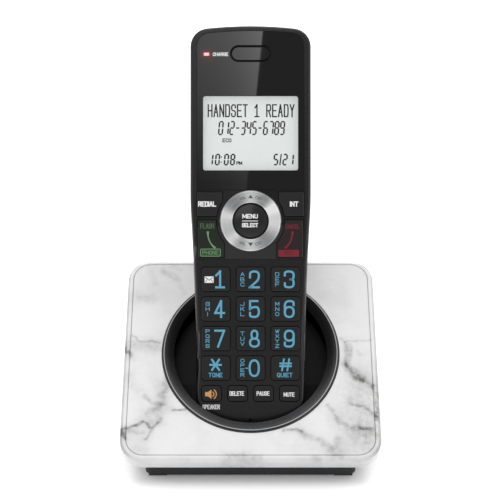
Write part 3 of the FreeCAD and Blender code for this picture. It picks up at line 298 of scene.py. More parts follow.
NO_TURN = (0.0, 0.0, 0.0)
TABLE = (0.0, 0.0, 0.0)
BLACK = (0.0, 0.0, 0.0, 1.0)
WHITE = (1.0, 1.0, 1.0, 1.0)
SMEAR_SCALE = 0.06


def moulded(name, colour, roughness, grain, depth, **plain):
    """Moulded plastic: a fine grain in its relief and a slight play in its gloss."""
    finish = Finish(name, colour, roughness, **plain)
    place = finish.coordinates(TABLE, NO_TURN)
    pits = finish.noise(place, grain, 2.0)
    smears = finish.noise(place, SMEAR_SCALE)
    finish.put("Roughness", (smears * 0.2 + 0.9) * roughness)
    finish.relief(pits, depth)
    return finish.material


# Veins of the marble on the plate: darkness, width, and points across and up the slope from the
# well's middle, in millimetres

VEINS = [
    (0.32, 0.8, ((-49, 7.5), (-46, 5.2), (-43, 4.4), (-37, 4.4))),
    (0.20, 3.6, ((-49, 3.2), (-42.5, 1.8), (-37, 2.0))),
    (0.60, 1.6, ((-53, 5), (-51, 1.8), (-49, -1.5))),
    (0.25, 2.4, ((-37, 38.7), (-33.8, 36.7), (-30.4, 34.7))),
    (0.12, 2.5, ((-33, 41), (-30, 39.5))),
    (0.08, 1.8, ((-43, 42), (-41.8, 36.7), (-40, 32))),
    (0.10, 2.0, ((-29.2, 31.6), (-27.6, 28))),
    (0.17, 4.0, ((-47.5, 26.5), (-41.3, 25))),
    (0.14, 3.5, ((-49.5, -11), (-47.9, -14.7), (-45.4, -17.2))),
    (0.30, 2.6, ((-34.2, -12.5), (-33.8, -16.5), (-35, -20))),
    (0.30, 1.5, ((-42.5, -20), (-39.8, -23.1), (-34.5, -23.5))),
    (0.22, 2.2, ((-41, -26.7), (-38, -25.8), (-35.8, -25))),
    (0.20, 6.0, ((-35, -16), (-36, -23.6), (-37.5, -30))),
    (0.60, 1.0, ((-31.2, -25.9), (-28.5, -26.2), (-25.5, -26))),
    (0.60, 1.1, ((-53, -35), (-48.9, -34.3), (-45.1, -32.7), (-42.4, -31), (-40.8, -31.6),
                 (-40.1, -33.7))),
    (0.38, 1.2, ((-35.7, -29.8), (-39.1, -34.5), (-41.3, -38.7))),
    (0.20, 2.0, ((-49, -36), (-43, -35.6))),
    (0.55, 1.5, ((-52.5, -34), (-50.6, -36), (-49.4, -38.4))),
    (0.12, 3.0, ((-45.4, -43.3), (-41.5, -43.7))),
    (0.22, 0.9, ((37, 6.7), (38.6, 5), (41.2, 5.5), (49, 5.4))),
    (0.35, 1.2, ((38.6, 5), (38.7, -3.4), (38.9, -6.7))),
    (0.30, 2.0, ((40.3, 3), (40, -5))),
    (0.60, 2.7, ((38.9, -6.7), (41.4, -9.6), (44.5, -12.9))),
    (0.30, 1.3, ((44.5, -12.9), (47.3, -14.5), (49.5, -16))),
    (0.35, 1.2, ((49.5, -16), (50.2, -20.6), (50.2, -26), (49.8, -30))),
    (0.15, 2.0, ((43.6, 0), (44.4, -1.8))),
    (0.30, 1.8, ((30.7, -23.8), (33.8, -27.8), (35.2, -31.3), (38.6, -33.7), (44, -34.1),
                 (47.5, -34.8))),
    (0.18, 1.2, ((43, -34), (47, -34.6))),
    (0.35, 1.3, ((39.7, -23.4), (44.8, -24.4), (47.9, -26.6), (50, -28.4))),
    (0.15, 4.0, ((40.7, -36.2), (43.3, -37.1), (45.6, -38.7))),
    (0.20, 2.0, ((47.8, -36.4), (49.2, -38))),
    (0.22, 2.2, ((34.2, -38.5), (33.4, -42))),
    (0.14, 3.0, ((31, -44), (35.4, -45.3))),
    (0.45, 1.2, ((13, -34.9), (17.9, -35), (20, -36.2))),
    (0.26, 2.2, ((20, -36.2), (26.3, -39.5), (31.5, -43))),
    (0.25, 4.0, ((-9.4, -46.9), (-2.3, -46.5))),
    (0.25, 2.0, ((1, -47), (4, -47))),
    (0.22, 2.0, ((24.5, -47), (27, -47))),
    (0.20, 1.5, ((32.8, -46.5), (35.5, -46.6))),
    (0.20, 15.0, ((44, -20), (42, -30), (45, -40))),
]

# The veins stray from their points by noise, and fade in and out along their run.

STRAY = 4.0
STRAY_SCALE = 0.16
CLOUD_SCALE = 0.06
CLOUD_SHARE = 0.09
FLECK_SCALE = 0.45
FLECK_SHARE = 0.03
HAZE_SHARE = 0.45

# The plate's joint runs round a rectangle with round corners, set a little to the front. The
# bevel round the top lies between these levels of the plate's frame. Both are darkened by
# painted shade, the bevel less so at the rear and at the front: from where, to where, and by how
# much.

JOINT_HALVES = (42.0, 36.6)
JOINT_CORNER = 7.2
JOINT_SET = 1.9
JOINT_SHADE = 0.27
BEVEL_FOOT = (-1.75, -1.5)
BEVEL_HEAD = (-0.75, -0.35)
BEVEL_SHADE = 0.8
BEVEL_REAR = (38.0, 43.0, 0.5)
BEVEL_FRONT = (-46.8, -44.0, 0.2)


def to_stretch(finish, place, start, end):
    """Distance from a point to a straight stretch. The nearest point lies at the share
    (point - start) . along / along . along of its length, held between 0 and 1."""
    along = Vector((end[0] - start[0], end[1] - start[1], 0.0))
    origin = Vector((*start, 0.0))
    rate = along / along.length_squared
    reach = finish.vector("DOT_PRODUCT", place, tuple(rate))["Value"]
    held = {"operation": "SUBTRACT", "use_clamp": True}
    share = finish.node("ShaderNodeMath", held, {0: reach, 1: rate.dot(origin)})
    scaling = {0: tuple(along), "Scale": share.outputs["Value"]}
    way = finish.node("ShaderNodeVectorMath", {"operation": "SCALE"}, scaling).outputs["Vector"]
    foot = finish.vector("ADD", way, tuple(origin))["Vector"]
    return Reading(finish, finish.vector("DISTANCE", place, foot)["Value"])


def box_distance(finish, x, y, half_x, half_y):
    """Distance to a rectangle about the origin; it is 0 inside."""
    over_x = (x.size() - half_x).greater(0.0)
    over_y = (y.size() - half_y).greater(0.0)
    return finish.math("SQRT", over_x * over_x + over_y * over_y)


def veined(finish, place):
    """How dark the marble is, from 0: clouds and flecks of noise, and for each vein a line and
    a wider haze, which both fall off with the distance to the nearest of its stretches."""
    flat = finish.vector("MULTIPLY", place, (1.0, 1.0, 0.0))["Vector"]
    straying = {"Vector": place, "Scale": STRAY_SCALE, "Detail": 6.0}
    wander = finish.node("ShaderNodeTexNoise", {}, straying).outputs["Color"]
    centred = finish.vector("SUBTRACT", wander, (0.5, 0.5, 0.5))["Vector"]
    bent = finish.vector("MULTIPLY_ADD", centred, (STRAY, STRAY, 0.0), flat)["Vector"]
    clouds = finish.noise(place, CLOUD_SCALE, 5.0, 0.6)
    flecks = finish.noise(place, FLECK_SCALE, 6.0, 0.7)
    dark = clouds.fade(0.68, 0.42) * CLOUD_SHARE + flecks.fade(0.75, 0.45) * FLECK_SHARE
    broken = (flecks * 3.0 - 0.7).greater(0.15).lesser(1.4)
    for depth, width, points in VEINS:
        pairs = zip(points, points[1:])
        stretches = [to_stretch(finish, bent, start, end) for start, end in pairs]
        distance = stretches[0]
        for other in stretches[1:]:
            distance = distance.lesser(other)
        line = distance.fade(0.0, width)
        haze = distance.fade(0.0, width * 3.5 + 1.0)
        dark = dark + line * (broken * depth) + haze * haze * (clouds * (depth * HAZE_SHARE))
    return dark


def painted_bevel_and_joint_shade(finish, place):
    """Painted shade: how much darker the bevel round the plate's top is, and the plate's joint.
    """
    x, y, z = finish.parts(place)
    # Painted shade on the bevel, less at the rear and at the front, and along the joint.
    bevel = z.fade(*BEVEL_HEAD) * (1.0 - z.fade(*BEVEL_FOOT))
    *rear, rear_loss = BEVEL_REAR
    *front, front_loss = BEVEL_FRONT
    shade = BEVEL_SHADE - y.fade(*rear) * rear_loss - y.fade(*front) * front_loss
    outline = box_distance(finish, x, y + JOINT_SET, *JOINT_HALVES)
    joint = (outline - JOINT_CORNER).size().fade(0.12, 0.4)
    return bevel * shade, joint * JOINT_SHADE


def marble():
    """White marble look: soft grey clouds and thin wandering veins, each with a faint haze."""
    finish = Finish("marble", srgb(238, 238, 238), 0.16)
    place = finish.coordinates(WELL, PLATE_TURN)
    # The marble's colour is darkened by the painted shade on its bevel and in its joint.
    bevel, joint = painted_bevel_and_joint_shade(finish, place)
    dark = (veined(finish, place) + bevel + joint).lesser(1.0)
    finish.put("Base Color", finish.blend(dark, srgb(239, 239, 239), srgb(92, 91, 90)))
    finish.put("Coat Weight", 0.4)
    finish.put("Coat Roughness", 0.06)
    return finish.material


# Painted fans of light in the ring's colour: direction in degrees, sharpness and weight

PAINTED_LIGHT_FANS = [
    (30, 30.0, 0.85), (8, 8.0, 0.25), (90, 12.0, 0.46), (165, 30.0, 0.45), (225, 30.0, 0.55),
    (270, 12.0, 0.52), (350, 10.0, 0.46), (190, 8.0, 0.42),
]
GROOVES_OUT = 7.0
GROOVES_ROUND = 1.5


def brushed_ring():
    """Silver turned in circles: grooves of noise run round its middle, and fans of painted light
    brighten its colour. Each fan is the cosine of the angle from its direction, raised to its
    sharpness."""
    finish = Finish("brushed_silver", srgb(205, 206, 208), 0.3, Metallic=1.0)
    place = finish.coordinates(on_face(0.0, DIAL_UP, 0.0), HANDSET_TURN)
    x, y, _ = finish.parts(place)
    radius = finish.math("SQRT", x * x + y * y)
    angle = finish.math("ARCTAN2", y, x)
    polar = {"X": radius * GROOVES_OUT, "Y": angle * GROOVES_ROUND, "Z": 0.0}
    coiled = finish.node("ShaderNodeCombineXYZ", {}, polar).outputs["Vector"]
    grooves = finish.noise(coiled, 1.0, 3.0, 0.6)
    shade = grooves * 0.6 - 0.16
    # Painted highlight: each fan lightens the base colour round its direction.
    for direction, sharpness, weight in PAINTED_LIGHT_FANS:
        towards = finish.math("COSINE", angle - radians(direction)).greater(0.0)
        shade = shade + towards ** sharpness * weight
    shade = shade.greater(0.0).lesser(1.0)
    finish.put("Base Color", finish.blend(shade, srgb(108, 109, 111), srgb(255, 255, 255)))
    finish.put("Roughness", grooves * 0.12 + 0.36)
    finish.relief(grooves, 0.015)
    return finish.material


# Round the well: radius of the lip's crest, how the painted highlight along the crest fades to
# its sides, how far out of it the painted shade on the edge starts and is full, and where the
# lip's painted reflection grows paler towards the front

CREST = 35.25
CREST_HIGHLIGHT_HALF = (0.06, 0.26)
EDGE_SHADE_OUT = (0.25, 0.5)
LIP_SHEEN_REACH = (-34.0, 4.0)


def trim_ring():
    """Black lip round the well. A painted reflection makes it paler at the front, painted shade
    blackens its outer edge, and a painted highlight runs along its crest.
    """
    finish = Finish("trim_ring", srgb(27, 27, 28), 0.26)
    place = finish.coordinates(WELL, PLATE_TURN)
    x, y, _ = finish.parts(place)
    radius = finish.math("SQRT", x * x + y * y)
    # Painted reflection: the lip's colour grows paler towards the front.
    lip_sheen = finish.blend(y.fade(*LIP_SHEEN_REACH), srgb(24, 24, 25), srgb(62, 62, 63))
    # Painted highlight: a pale line along the crest.
    crest_highlight = (radius - CREST).size().fade(*CREST_HIGHLIGHT_HALF)
    highlighted = finish.blend(crest_highlight, lip_sheen, srgb(175, 175, 176))
    inner, outer = EDGE_SHADE_OUT
    # Painted shade: the outer edge is blackened.
    edge = radius.fade(CREST + outer, CREST + inner)
    finish.put("Base Color", finish.blend(edge, highlighted, srgb(6, 6, 6)))
    finish.put("Roughness", finish.noise(place, SMEAR_SCALE) * 0.06 + 0.24)
    return finish.material


# The display's cover: how clear its window is, half of the window's soft edge, half of the
# charge light's sides, and its glow

WINDOW_CLEAR = 0.95
WINDOW_EDGE = 0.05
LIGHT_HALVES = (1.0, 0.3)
GLOW_FALL = 1.3
GLOW_RED = (0.16, 0.006, 0.012, 1.0)


def display_cover():
    """Black lens with a clear window over the display, and a faint red glow round the charge
    light, which falls as exp(-1.3 distance)."""
    finish = Finish("display_cover", srgb(4, 4, 4), 0.06)
    place = finish.coordinates(FOOT, HANDSET_TURN)
    x, y, _ = finish.parts(place)
    low, high = WINDOW_UP
    half_x = WINDOW_HALF - WINDOW_CORNER
    half_y = (high - low) / 2 - WINDOW_CORNER
    distance = box_distance(finish, x, y - (low + high) / 2, half_x, half_y)
    clear = distance.fade(WINDOW_CORNER - WINDOW_EDGE, WINDOW_CORNER + WINDOW_EDGE)
    finish.put("Alpha", 1.0 - clear * WINDOW_CLEAR)
    dust = finish.noise(place, 0.15, 4.0)
    finish.put("Roughness", dust * 0.02 + 0.005)
    beside = box_distance(finish, x + LIGHT_SIDE, y - LIGHT_UP, *LIGHT_HALVES)
    spread = finish.math("EXPONENT", beside * -GLOW_FALL)
    finish.put("Emission Color", finish.blend(spread, BLACK, GLOW_RED))
    finish.put("Emission Strength", 1.0)
    return finish.material


def control_panel():
    """Black panel round the dial: gloss above the dial's middle and satin below it."""
    finish = Finish("control_panel", srgb(8, 8, 8), 0.02)
    place = finish.coordinates(FOOT, HANDSET_TURN)
    _, y, _ = finish.parts(place)
    satin = y.fade(DIAL_UP - 4.0, DIAL_UP)
    smears = finish.noise(place, SMEAR_SCALE)
    finish.put("Base Color", finish.blend(satin, srgb(8, 8, 8), srgb(20, 20, 21)))
    finish.put("Roughness", satin * 0.4 + smears * 0.01 + 0.015)
    finish.relief(finish.noise(place, 5.0, 2.0) * satin, 0.008)
    return finish.material


# The display's grid: the angle that its sines turn through in a millimetre

CELLS = 16.0


def display_panel():
    """Pale grey liquid crystal glass, lit from behind, with a faint grid of cells: the product
    of a sine across and a sine up."""
    finish = Finish("display_panel", srgb(190, 194, 192), 0.5)
    place = finish.coordinates(FOOT, HANDSET_TURN)
    x, y, _ = finish.parts(place)
    grid = finish.math("SINE", x * CELLS).size() * finish.math("SINE", y * CELLS).size()
    finish.put("Base Color", finish.blend(grid, srgb(188, 192, 190), srgb(193, 197, 195)))
    finish.put("Emission Color", finish.blend(grid, srgb(220, 226, 224), srgb(228, 233, 231)))
    finish.put("Emission Strength", 0.54)
    return finish.material


def circuit_board():
    """Green lacquer with paler tracks: a sine across the board, pushed aside by noise."""
    finish = Finish("circuit_board", srgb(18, 92, 52), 0.35)
    place = finish.coordinates(TABLE, NO_TURN)
    x, _, _ = finish.parts(place)
    tracks = finish.math("SINE", x * 3.1 + finish.noise(place, 0.1, 0.0) * 14.0)
    shown = (tracks * 3.0 - 1.5).greater(0.0).lesser(1.0)
    finish.put("Base Color", finish.blend(shown, srgb(18, 92, 52), srgb(60, 140, 86)))
    return finish.material


def metal(name, colour, roughness):
    """Plain rolled metal with faint streaks."""
    finish = Finish(name, colour, roughness, Metallic=1.0)
    place = finish.coordinates(TABLE, NO_TURN, stretch=(0.2, 1.0, 1.0))
    finish.put("Roughness", finish.noise(place, 4.0) * 0.2 + (roughness - 0.1))
    return finish.material


def printed(name, colour, glow=0.0):
    """Printing ink, a little uneven in its cover, with a painted glow of the given strength."""
    finish = Finish(name, colour, 0.45, Specular_IOR_Level=0.3)
    place = finish.coordinates(TABLE, NO_TURN)
    thin = finish.noise(place, 3.0, 2.0) * 0.1
    finish.put("Base Color", finish.blend(thin, colour, (0.02, 0.02, 0.02, 1.0)))
    # Painted glow: the ink's own colour, glowing at the given strength.
    finish.put("Emission Color", colour)
    finish.put("Emission Strength", glow)
    return finish.material


def light_pipe():
    """Charge light: a pale hot middle that falls to rose at both ends."""
    finish = Finish("charge_light", srgb(120, 20, 30), 0.3)
    place = finish.coordinates(on_face(-LIGHT_SIDE, LIGHT_UP, 0.0), HANDSET_TURN)
    x, _, _ = finish.parts(place)
    hot = x.size().fade(0.6, 1.3)
    finish.put("Emission Color", finish.blend(hot, srgb(170, 90, 100), srgb(255, 206, 212)))
    finish.put("Emission Strength", 1.0)
    return finish.material


def black_plastic(name, colour, roughness, grain, depth, specular=0.5):
    """Moulded black plastic with its own share of mirror light."""
    return moulded(name, colour, roughness, grain, depth, Specular_IOR_Level=specular)


MARBLE = marble()
RING_BLACK = trim_ring()
LENS = display_cover()
CONTROLS = control_panel()

# Moulded finishes: colour, roughness, grain and depth of its relief, and mirror light

GLOSS_BLACK = black_plastic("gloss_black", srgb(8, 8, 8), 0.02, 0.5, 0.0002)
SHELL_BLACK = black_plastic("shell_black", srgb(12, 11, 11), 0.27, 6.0, 0.008, 0.45)
KEY_BLACK = black_plastic("key_black", srgb(21, 21, 22), 0.42, 5.0, 0.008, 0.34)
TALK_BLACK = black_plastic("talk_black", srgb(17, 25, 17), 0.42, 5.0, 0.008, 0.34)
END_BLACK = black_plastic("end_black", srgb(30, 16, 17), 0.42, 5.0, 0.008, 0.34)
MENU_BLACK = black_plastic("menu_black", srgb(17, 17, 18), 0.24, 5.0, 0.004)
WELL_BLACK = black_plastic("well_black", srgb(6, 6, 6), 0.42, 5.0, 0.012, 0.18)
TUB_BLACK = black_plastic("tub_black", srgb(32, 33, 36), 0.5, 4.0, 0.02, 0.36)
RUBBER = moulded("soft_rubber", srgb(26, 26, 27), 0.75, 3.0, 0.03)
CONNECTOR = moulded("connector_black", srgb(26, 26, 27), 0.55, 3.0, 0.02)
CLEAR_GUIDE = moulded("clear_guide", srgb(214, 220, 222), 0.15, 1.0, 0.001)
CELL_FILM = moulded("cell_film", srgb(48, 92, 66), 0.3, 0.6, 0.02)

RING_SILVER = brushed_ring()
PANEL = display_panel()
BOARD = circuit_board()
STEEL = metal("plain_steel", srgb(190, 190, 192), 0.35)
SPRING_METAL = metal("spring_metal", srgb(214, 190, 132), 0.3)
CHARGE_LIGHT = light_pipe()

# Inks: colour and the strength of the faint painted glow that lifts each

INK_BLUE = printed("ink_blue", srgb(98, 170, 200), 0.03)
INK_WHITE = printed("ink_white", srgb(240, 240, 240), 0.1)
INK_GREEN = printed("ink_green", srgb(112, 150, 108), 0.03)
INK_FLASH = printed("ink_flash", srgb(78, 104, 74))
INK_LEAF = printed("ink_leaf", srgb(38, 68, 37))
INK_RED = printed("ink_red", srgb(128, 27, 44), 0.02)
INK_WINE = printed("ink_wine", srgb(96, 30, 38))
INK_ORANGE = printed("ink_orange", srgb(214, 158, 92), 0.05)
INK_GREY = printed("ink_grey", srgb(84, 86, 90))
INK_SEGMENT = printed("ink_segment", srgb(24, 26, 28))

DIGITS = "1 2 3 4 5 6 7 8 9 star 0 hash".split()

# The nodes that wear each finish

WORN = (
    (MARBLE, "marble_housing marble_faceplate"),
    (RING_BLACK, "cradle_trim_ring"),
    (CONTROLS, "control_bezel"),
    (LENS, "display_lens"),
    (GLOSS_BLACK, "earpiece_bar"),
    (SHELL_BLACK, "handset_front_shell handset_rear_shell battery_door"),
    (KEY_BLACK, "speaker_key delete_key pause_key mute_key redial_key intercom_key"),
    (KEY_BLACK, "find_handset_key"),
    (TALK_BLACK, "talk_key"),
    (END_BLACK, "end_key"),
    (MENU_BLACK, "menu_select_key"),
    (WELL_BLACK, "cradle_well"),
    (TUB_BLACK, "base_bottom_shell"),
    (RUBBER, "rubber_feet rubber_key_mat"),
    (CONNECTOR, "battery_plug telephone_line_jack power_jack find_key_switch"),
    (CONNECTOR, "earpiece_receiver microphone handset_loudspeaker"),
    (CLEAR_GUIDE, "lcd_backlight"),
    (CELL_FILM, "battery_pack"),
    (RING_SILVER, "navigation_ring"),
    (PANEL, "lcd_module"),
    (BOARD, "handset_circuit_board base_circuit_board"),
    (STEEL, "key_domes handset_screws base_screws"),
    (SPRING_METAL, "handset_charge_contacts base_charge_contacts"),
    (SPRING_METAL, "handset_antenna base_antenna"),
    (CHARGE_LIGHT, "charge_light_pipe"),
)
FINISHES = {node: finish for finish, nodes in WORN for node in nodes.split()}
FINISHES.update({"key_" + digit: KEY_BLACK for digit in DIGITS})


def dress_nodes():
    """Gives each CAD node its finish in place of its plain one."""
    for name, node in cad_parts.items():
        node.data.materials.clear()
        node.data.materials.append(FINISHES[name])


# Prints: flat shapes on the face, in millimetres across and up. A shape is points and faces.
# The least 1 + a . b that a band's bend takes keeps a sharp one short.

MITRE = 0.35


def ribbon(path, half, closed=False):
    """A band along a path. With unit normals a and b of the two sides that meet at a point of
    the path, its edge points are path plus or minus half times (a + b) / (1 + a . b)."""
    path = np.array(path, dtype=float)
    sides = np.diff(np.vstack([path, path[:1]]) if closed else path, axis=0)
    sides /= np.linalg.norm(sides, axis=1)[:, None]
    normals = np.stack([-sides[:, 1], sides[:, 0]], axis=1)
    before = np.roll(normals, 1, axis=0) if closed else np.vstack([normals[:1], normals])
    after = normals if closed else np.vstack([normals, normals[-1:]])
    bend = 1.0 + np.sum(before * after, axis=1)
    half = np.broadcast_to(np.array(half, dtype=float), (len(path),))
    aside = (before + after) / np.maximum(bend, MITRE)[:, None] * half[:, None]
    points = np.concatenate([path - aside, path + aside])
    count = len(path)
    last = count if closed else count - 1
    steps = [(here, (here + 1) % count) for here in range(last)]
    return points, [(here, there, count + there, count + here) for here, there in steps]


def patch(*corners):
    """One flat face through its corners, anticlockwise."""
    return np.array(corners, dtype=float), [tuple(range(len(corners)))]


def bar(left, right, low, high):
    """A rectangle."""
    return patch((left, low), (right, low), (right, high), (left, high))


def arc(x, y, radius, turns):
    """Points of a circle: x plus radius times cosine, y plus radius times sine of each turn."""
    return np.stack([x + radius * np.cos(turns), y + radius * np.sin(turns)], axis=1)


def bow(start, corner, end, count):
    """Curve from start to end round a corner: (1-t)^2 start + 2 t (1-t) corner + t^2 end."""
    t = np.linspace(0.0, 1.0, count)[:, None]
    return (1 - t) ** 2 * start + 2 * t * (1 - t) * corner + t**2 * end


def rounded(left, right, low, high, corner):
    """Outline of a rectangle whose corners are quarter circles."""
    quarter = np.linspace(0.0, pi / 2, 5)
    middles = [(right - corner, high - corner), (left + corner, high - corner),
               (left + corner, low + corner), (right - corner, low + corner)]
    starts = np.arange(4) * pi / 2
    quarters = [arc(x, y, corner, quarter + start) for (x, y), start in zip(middles, starts)]
    return np.concatenate(quarters)


def turned(shape, angle, middle):
    """A shape turned about a point by an angle in degrees: the plane rotation of each point."""
    points, faces = shape
    turn = radians(angle)
    matrix = np.array([[cos(turn), -sin(turn)], [sin(turn), cos(turn)]])
    return (points - middle) @ matrix.T + middle, faces


# Letters as pen strokes on a grid six wide and eight high. Each pair of digits is a point,
# across and up. A stroke that starts with ~ is a smooth curve, and one that ends where it
# starts is closed.

GRID_HEIGHT = 8.0
LETTER_GAP = 2.7
STROKES = {
    "0": "~00,60,68,08,00", "1": "06,38,30 00,60", "2": "~05,08,68,64,32,00,00,60",
    "3": "~06,08,68,64,34,34,64,60,00,02", "4": "40,48,02,62",
    "5": "~58,08,08,04,04,25,65,60,00,02", "6": "~66,68,08,03,02 ~00,60,65,05,00",
    "7": "08,68,20", "8": "~14,54,58,18,14 ~00,60,64,04,00",
    "9": "~02,00,60,65,66 ~03,63,68,08,03", "#": "10,28 40,58 03,63 05,65",
    "*": "04,64 10,58 18,50", "A": "00,38,60 13,53",
    "B": "00,08 ~08,38,58,54,34,04 ~04,34,64,60,30,00", "C": "~66,68,08,00,60,62",
    "D": "00,08 ~08,38,68,60,30,00", "E": "60,00,08,68 04,54", "F": "00,08,68 04,54",
    "G": "~66,68,08,00,60,62,64 34,64", "H": "00,08 60,68 04,64", "I": "00,08",
    "J": "~02,00,50,54,58", "K": "00,08 03,68 25,60", "L": "08,00,60", "M": "00,08,42,88,80",
    "N": "00,08,60,68", "O": "~00,60,68,08,00", "P": "00,08 ~08,38,68,64,34,04",
    "Q": "~00,60,68,08,00 42,60", "R": "00,08 ~08,38,68,64,34,04 34,60",
    "S": "~66,68,08,04,64,60,00,02", "T": "08,68 30,38", "U": "~08,04,00,60,64,68",
    "V": "08,30,68", "W": "08,20,47,60,88", "X": "00,68 08,60", "Y": "08,34,68 34,30",
    "Z": "08,68,00,60",
}


def smooth(corners, closed):
    """Curve through the middles of a chain's sides: a bow from each middle to the next round
    the corner between them. Open ends run straight to the first and last point."""
    chain = np.vstack([corners[:-1], corners[:2]]) if closed else corners
    middles = (chain[:-1] + chain[1:]) / 2
    bows = [bow(*ends, 7) for ends in zip(middles, chain[1:-1], middles[1:])]
    path = np.concatenate(bows if closed else [corners[:1], *bows, corners[-1:]])
    apart = np.linalg.norm(np.diff(path, axis=0), axis=1) > 1e-6
    path = path[np.concatenate([[True], apart])]
    return path[:-1] if closed else path


def pen_strokes(letter):
    """The letter's strokes: the points of each, and whether it is closed. A chain that isn't
    smooth gives one stroke for each of its sides."""
    strokes = []
    for stroke in STROKES[letter].split():
        pairs = stroke.strip("~").split(",")
        corners = np.array([[int(across), int(up)] for across, up in pairs], dtype=float)
        closed = bool((corners[0] == corners[-1]).all())
        if stroke[0] == "~":
            strokes.append((smooth(corners, closed), closed))
        else:
            sides = np.stack([corners[:-1], corners[1:]], axis=1)
            strokes += [(side, False) for side in sides]
    return strokes


def words_in(words, left, right, low, high, half):
    """Words of pen strokes that fill a rectangle, each stroke twice half wide. A stroke's open
    ends are carried on by that half. A lone upright stroke stands in the rectangle's middle."""
    placed, edge = [], 0.0
    for letter in words:
        strokes = pen_strokes(letter)
        placed += [(path + (edge, 0.0), closed) for path, closed in strokes]
        edge += max(path[:, 0].max() for path, closed in strokes) + LETTER_GAP
    wide = edge - LETTER_GAP
    tall = (high - low - 2 * half) / GRID_HEIGHT
    if wide == 0.0:
        scale, origin = (0.0, tall), ((left + right) / 2, low + half)
    else:
        scale, origin = ((right - left - 2 * half) / wide, tall), (left + half, low + half)
    shapes = []
    for path, closed in placed:
        path = path * np.array(scale) + np.array(origin)
        if not closed:
            first, last = path[0] - path[1], path[-1] - path[-2]
            path[0] += first / np.linalg.norm(first) * half
            path[-1] += last / np.linalg.norm(last) * half
        shapes.append(ribbon(path, half, closed))
    return shapes


# Gap between letters that stand above each other

STACK_GAP = 0.42


def stacked(words, left, right, low, high, half):
    """One letter above the other, the first at the top."""
    pitch = (high - low + STACK_GAP) / len(words)
    shapes = []
    for number, letter in enumerate(words):
        top = high - pitch * number
        shapes += words_in(letter, left, right, top - pitch + STACK_GAP, top, half)
    return shapes


# A receiver's upper end, the corner that it bows round, and its lower end

RECEIVER = np.array([[-17.1, 80.9], [-17.3, 76.6], [-14.1, 74.2]])
RECEIVER_HALF = 0.26


def receiver(side, x):
    """A telephone receiver: a bow from its upper to its lower end. Its half width grows to
    twice at both ends, with the cube of the distance from its middle."""
    path = bow(*RECEIVER, 15) * (side, 1.0) + (x, 0.0)
    share = np.abs(np.linspace(-1.0, 1.0, 15))
    return ribbon(path, RECEIVER_HALF * (1.0 + share**3))


def loudspeaker(x, y):
    """A small loudspeaker: a box with a horn, and two arcs of sound."""
    back, neck, mouth = x - 2.3, x - 1.2, x + 0.25
    horn = patch((back, y - 0.85), (neck, y - 0.85), (mouth, y - 1.85), (mouth, y + 1.85),
                 (neck, y + 0.85), (back, y + 0.85))
    turns = np.linspace(-pi / 3, pi / 3, 9)
    return [horn] + [ribbon(arc(x + 0.1, y, reach, turns), 0.2) for reach in (1.1, 2.1)]


# The display's figures: the ends of their seven segments on a grid one wide and two high, the
# segments of each sign, and how far a figure leans and a segment is cut short

SEGMENT_ENDS = {
    "a": ((0, 2), (1, 2)), "b": ((1, 2), (1, 1)), "c": ((1, 1), (1, 0)), "d": ((0, 0), (1, 0)),
    "e": ((0, 1), (0, 0)), "f": ((0, 2), (0, 1)), "g": ((0, 1), (1, 1)),
}
SEGMENTS = {
    "0": "abcdef", "1": "bc", "2": "abdeg", "3": "abcdg", "4": "bcfg", "5": "acdfg",
    "6": "acdefg", "7": "abc", "8": "abcdefg", "9": "abcdfg", "-": "g",
}
SLANT = 0.09
SEGMENT_NICK = 0.09


def segment_figures(signs, lefts, low, width, height, half):
    """Seven-segment figures that lean to the right: x grows by the slant times the height. Each
    segment is a straight band, cut short by a nick at both ends."""
    shapes = []
    for sign, left in zip(signs, lefts):
        for segment in SEGMENTS[sign]:
            ends = np.array(SEGMENT_ENDS[segment], dtype=float) * (width, height / 2)
            ends += (left, low)
            ends[:, 0] += SLANT * (ends[:, 1] - low)
            step = (ends[1] - ends[0]) * SEGMENT_NICK
            shapes.append(ribbon([ends[0] + step, ends[1] - step], half))
    return shapes


def print_on(body, name, material, shapes, level):
    """Joins flat shapes into one thin piece of ink at a level out of the handset's face. Shapes
    that follow each other differ a little in height, so that none lies in another's plane."""
    points, faces, count = [], [], 0
    for number, (shape_points, shape_faces) in enumerate(shapes):
        height = np.full(len(shape_points), level + INK + INK_STEP * (number % 3))
        points.append(np.column_stack([shape_points, height]))
        faces += [tuple(count + corner for corner in face) for face in shape_faces]
        count += len(shape_points)
    turn = np.array(HANDSET.to_3x3())
    placed = np.concatenate(points) * MM @ turn.T + np.array(HANDSET.translation)
    piece = flat_mesh(name, placed, faces)
    depth = piece.modifiers.new("ink_depth", "SOLIDIFY")
    depth.thickness = (INK + INK_SUNK) * MM
    depth.offset = -1.0
    piece.data.materials.append(material)
    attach(piece, body)


# Legends of the keys. Edges are left, right, low and high. Those of the digit keys are from the
# key's middle, and the middles lie on a grid.

COLUMN = 13.93
ROW = 11.86
FIRST_ROW = 61.7
FIGURE_HALF = 0.42
SMALL_HALF = 0.125
WORD_HALF = 0.15
CALL_HALF = 0.21
FIGURE = (-0.65, 3.72, -3.6, 3.6)
OWN_FIGURES = {"1": (-0.27, 3.72, -3.6, 3.6), "0": (-0.8, 3.7, -3.5, 3.6)}
STACKS = {3: (-4.1, -2.45, -2.85, 2.85), 4: (-4.1, -2.45, -3.7, 3.7)}
ZERO_STACK = (-4.1, -2.45, -3.4, 3.8)
ZERO_DASH = (-2.1, -1.0, -0.15, 0.25)
LETTERS = {
    "2": "ABC", "3": "DEF", "4": "GHI", "5": "JKL", "6": "MNO", "7": "PQRS", "8": "TUV",
    "9": "WXYZ", "0": "OPER",
}

# Star and hash: the sign, its edges and half stroke, and the word under it with its edges

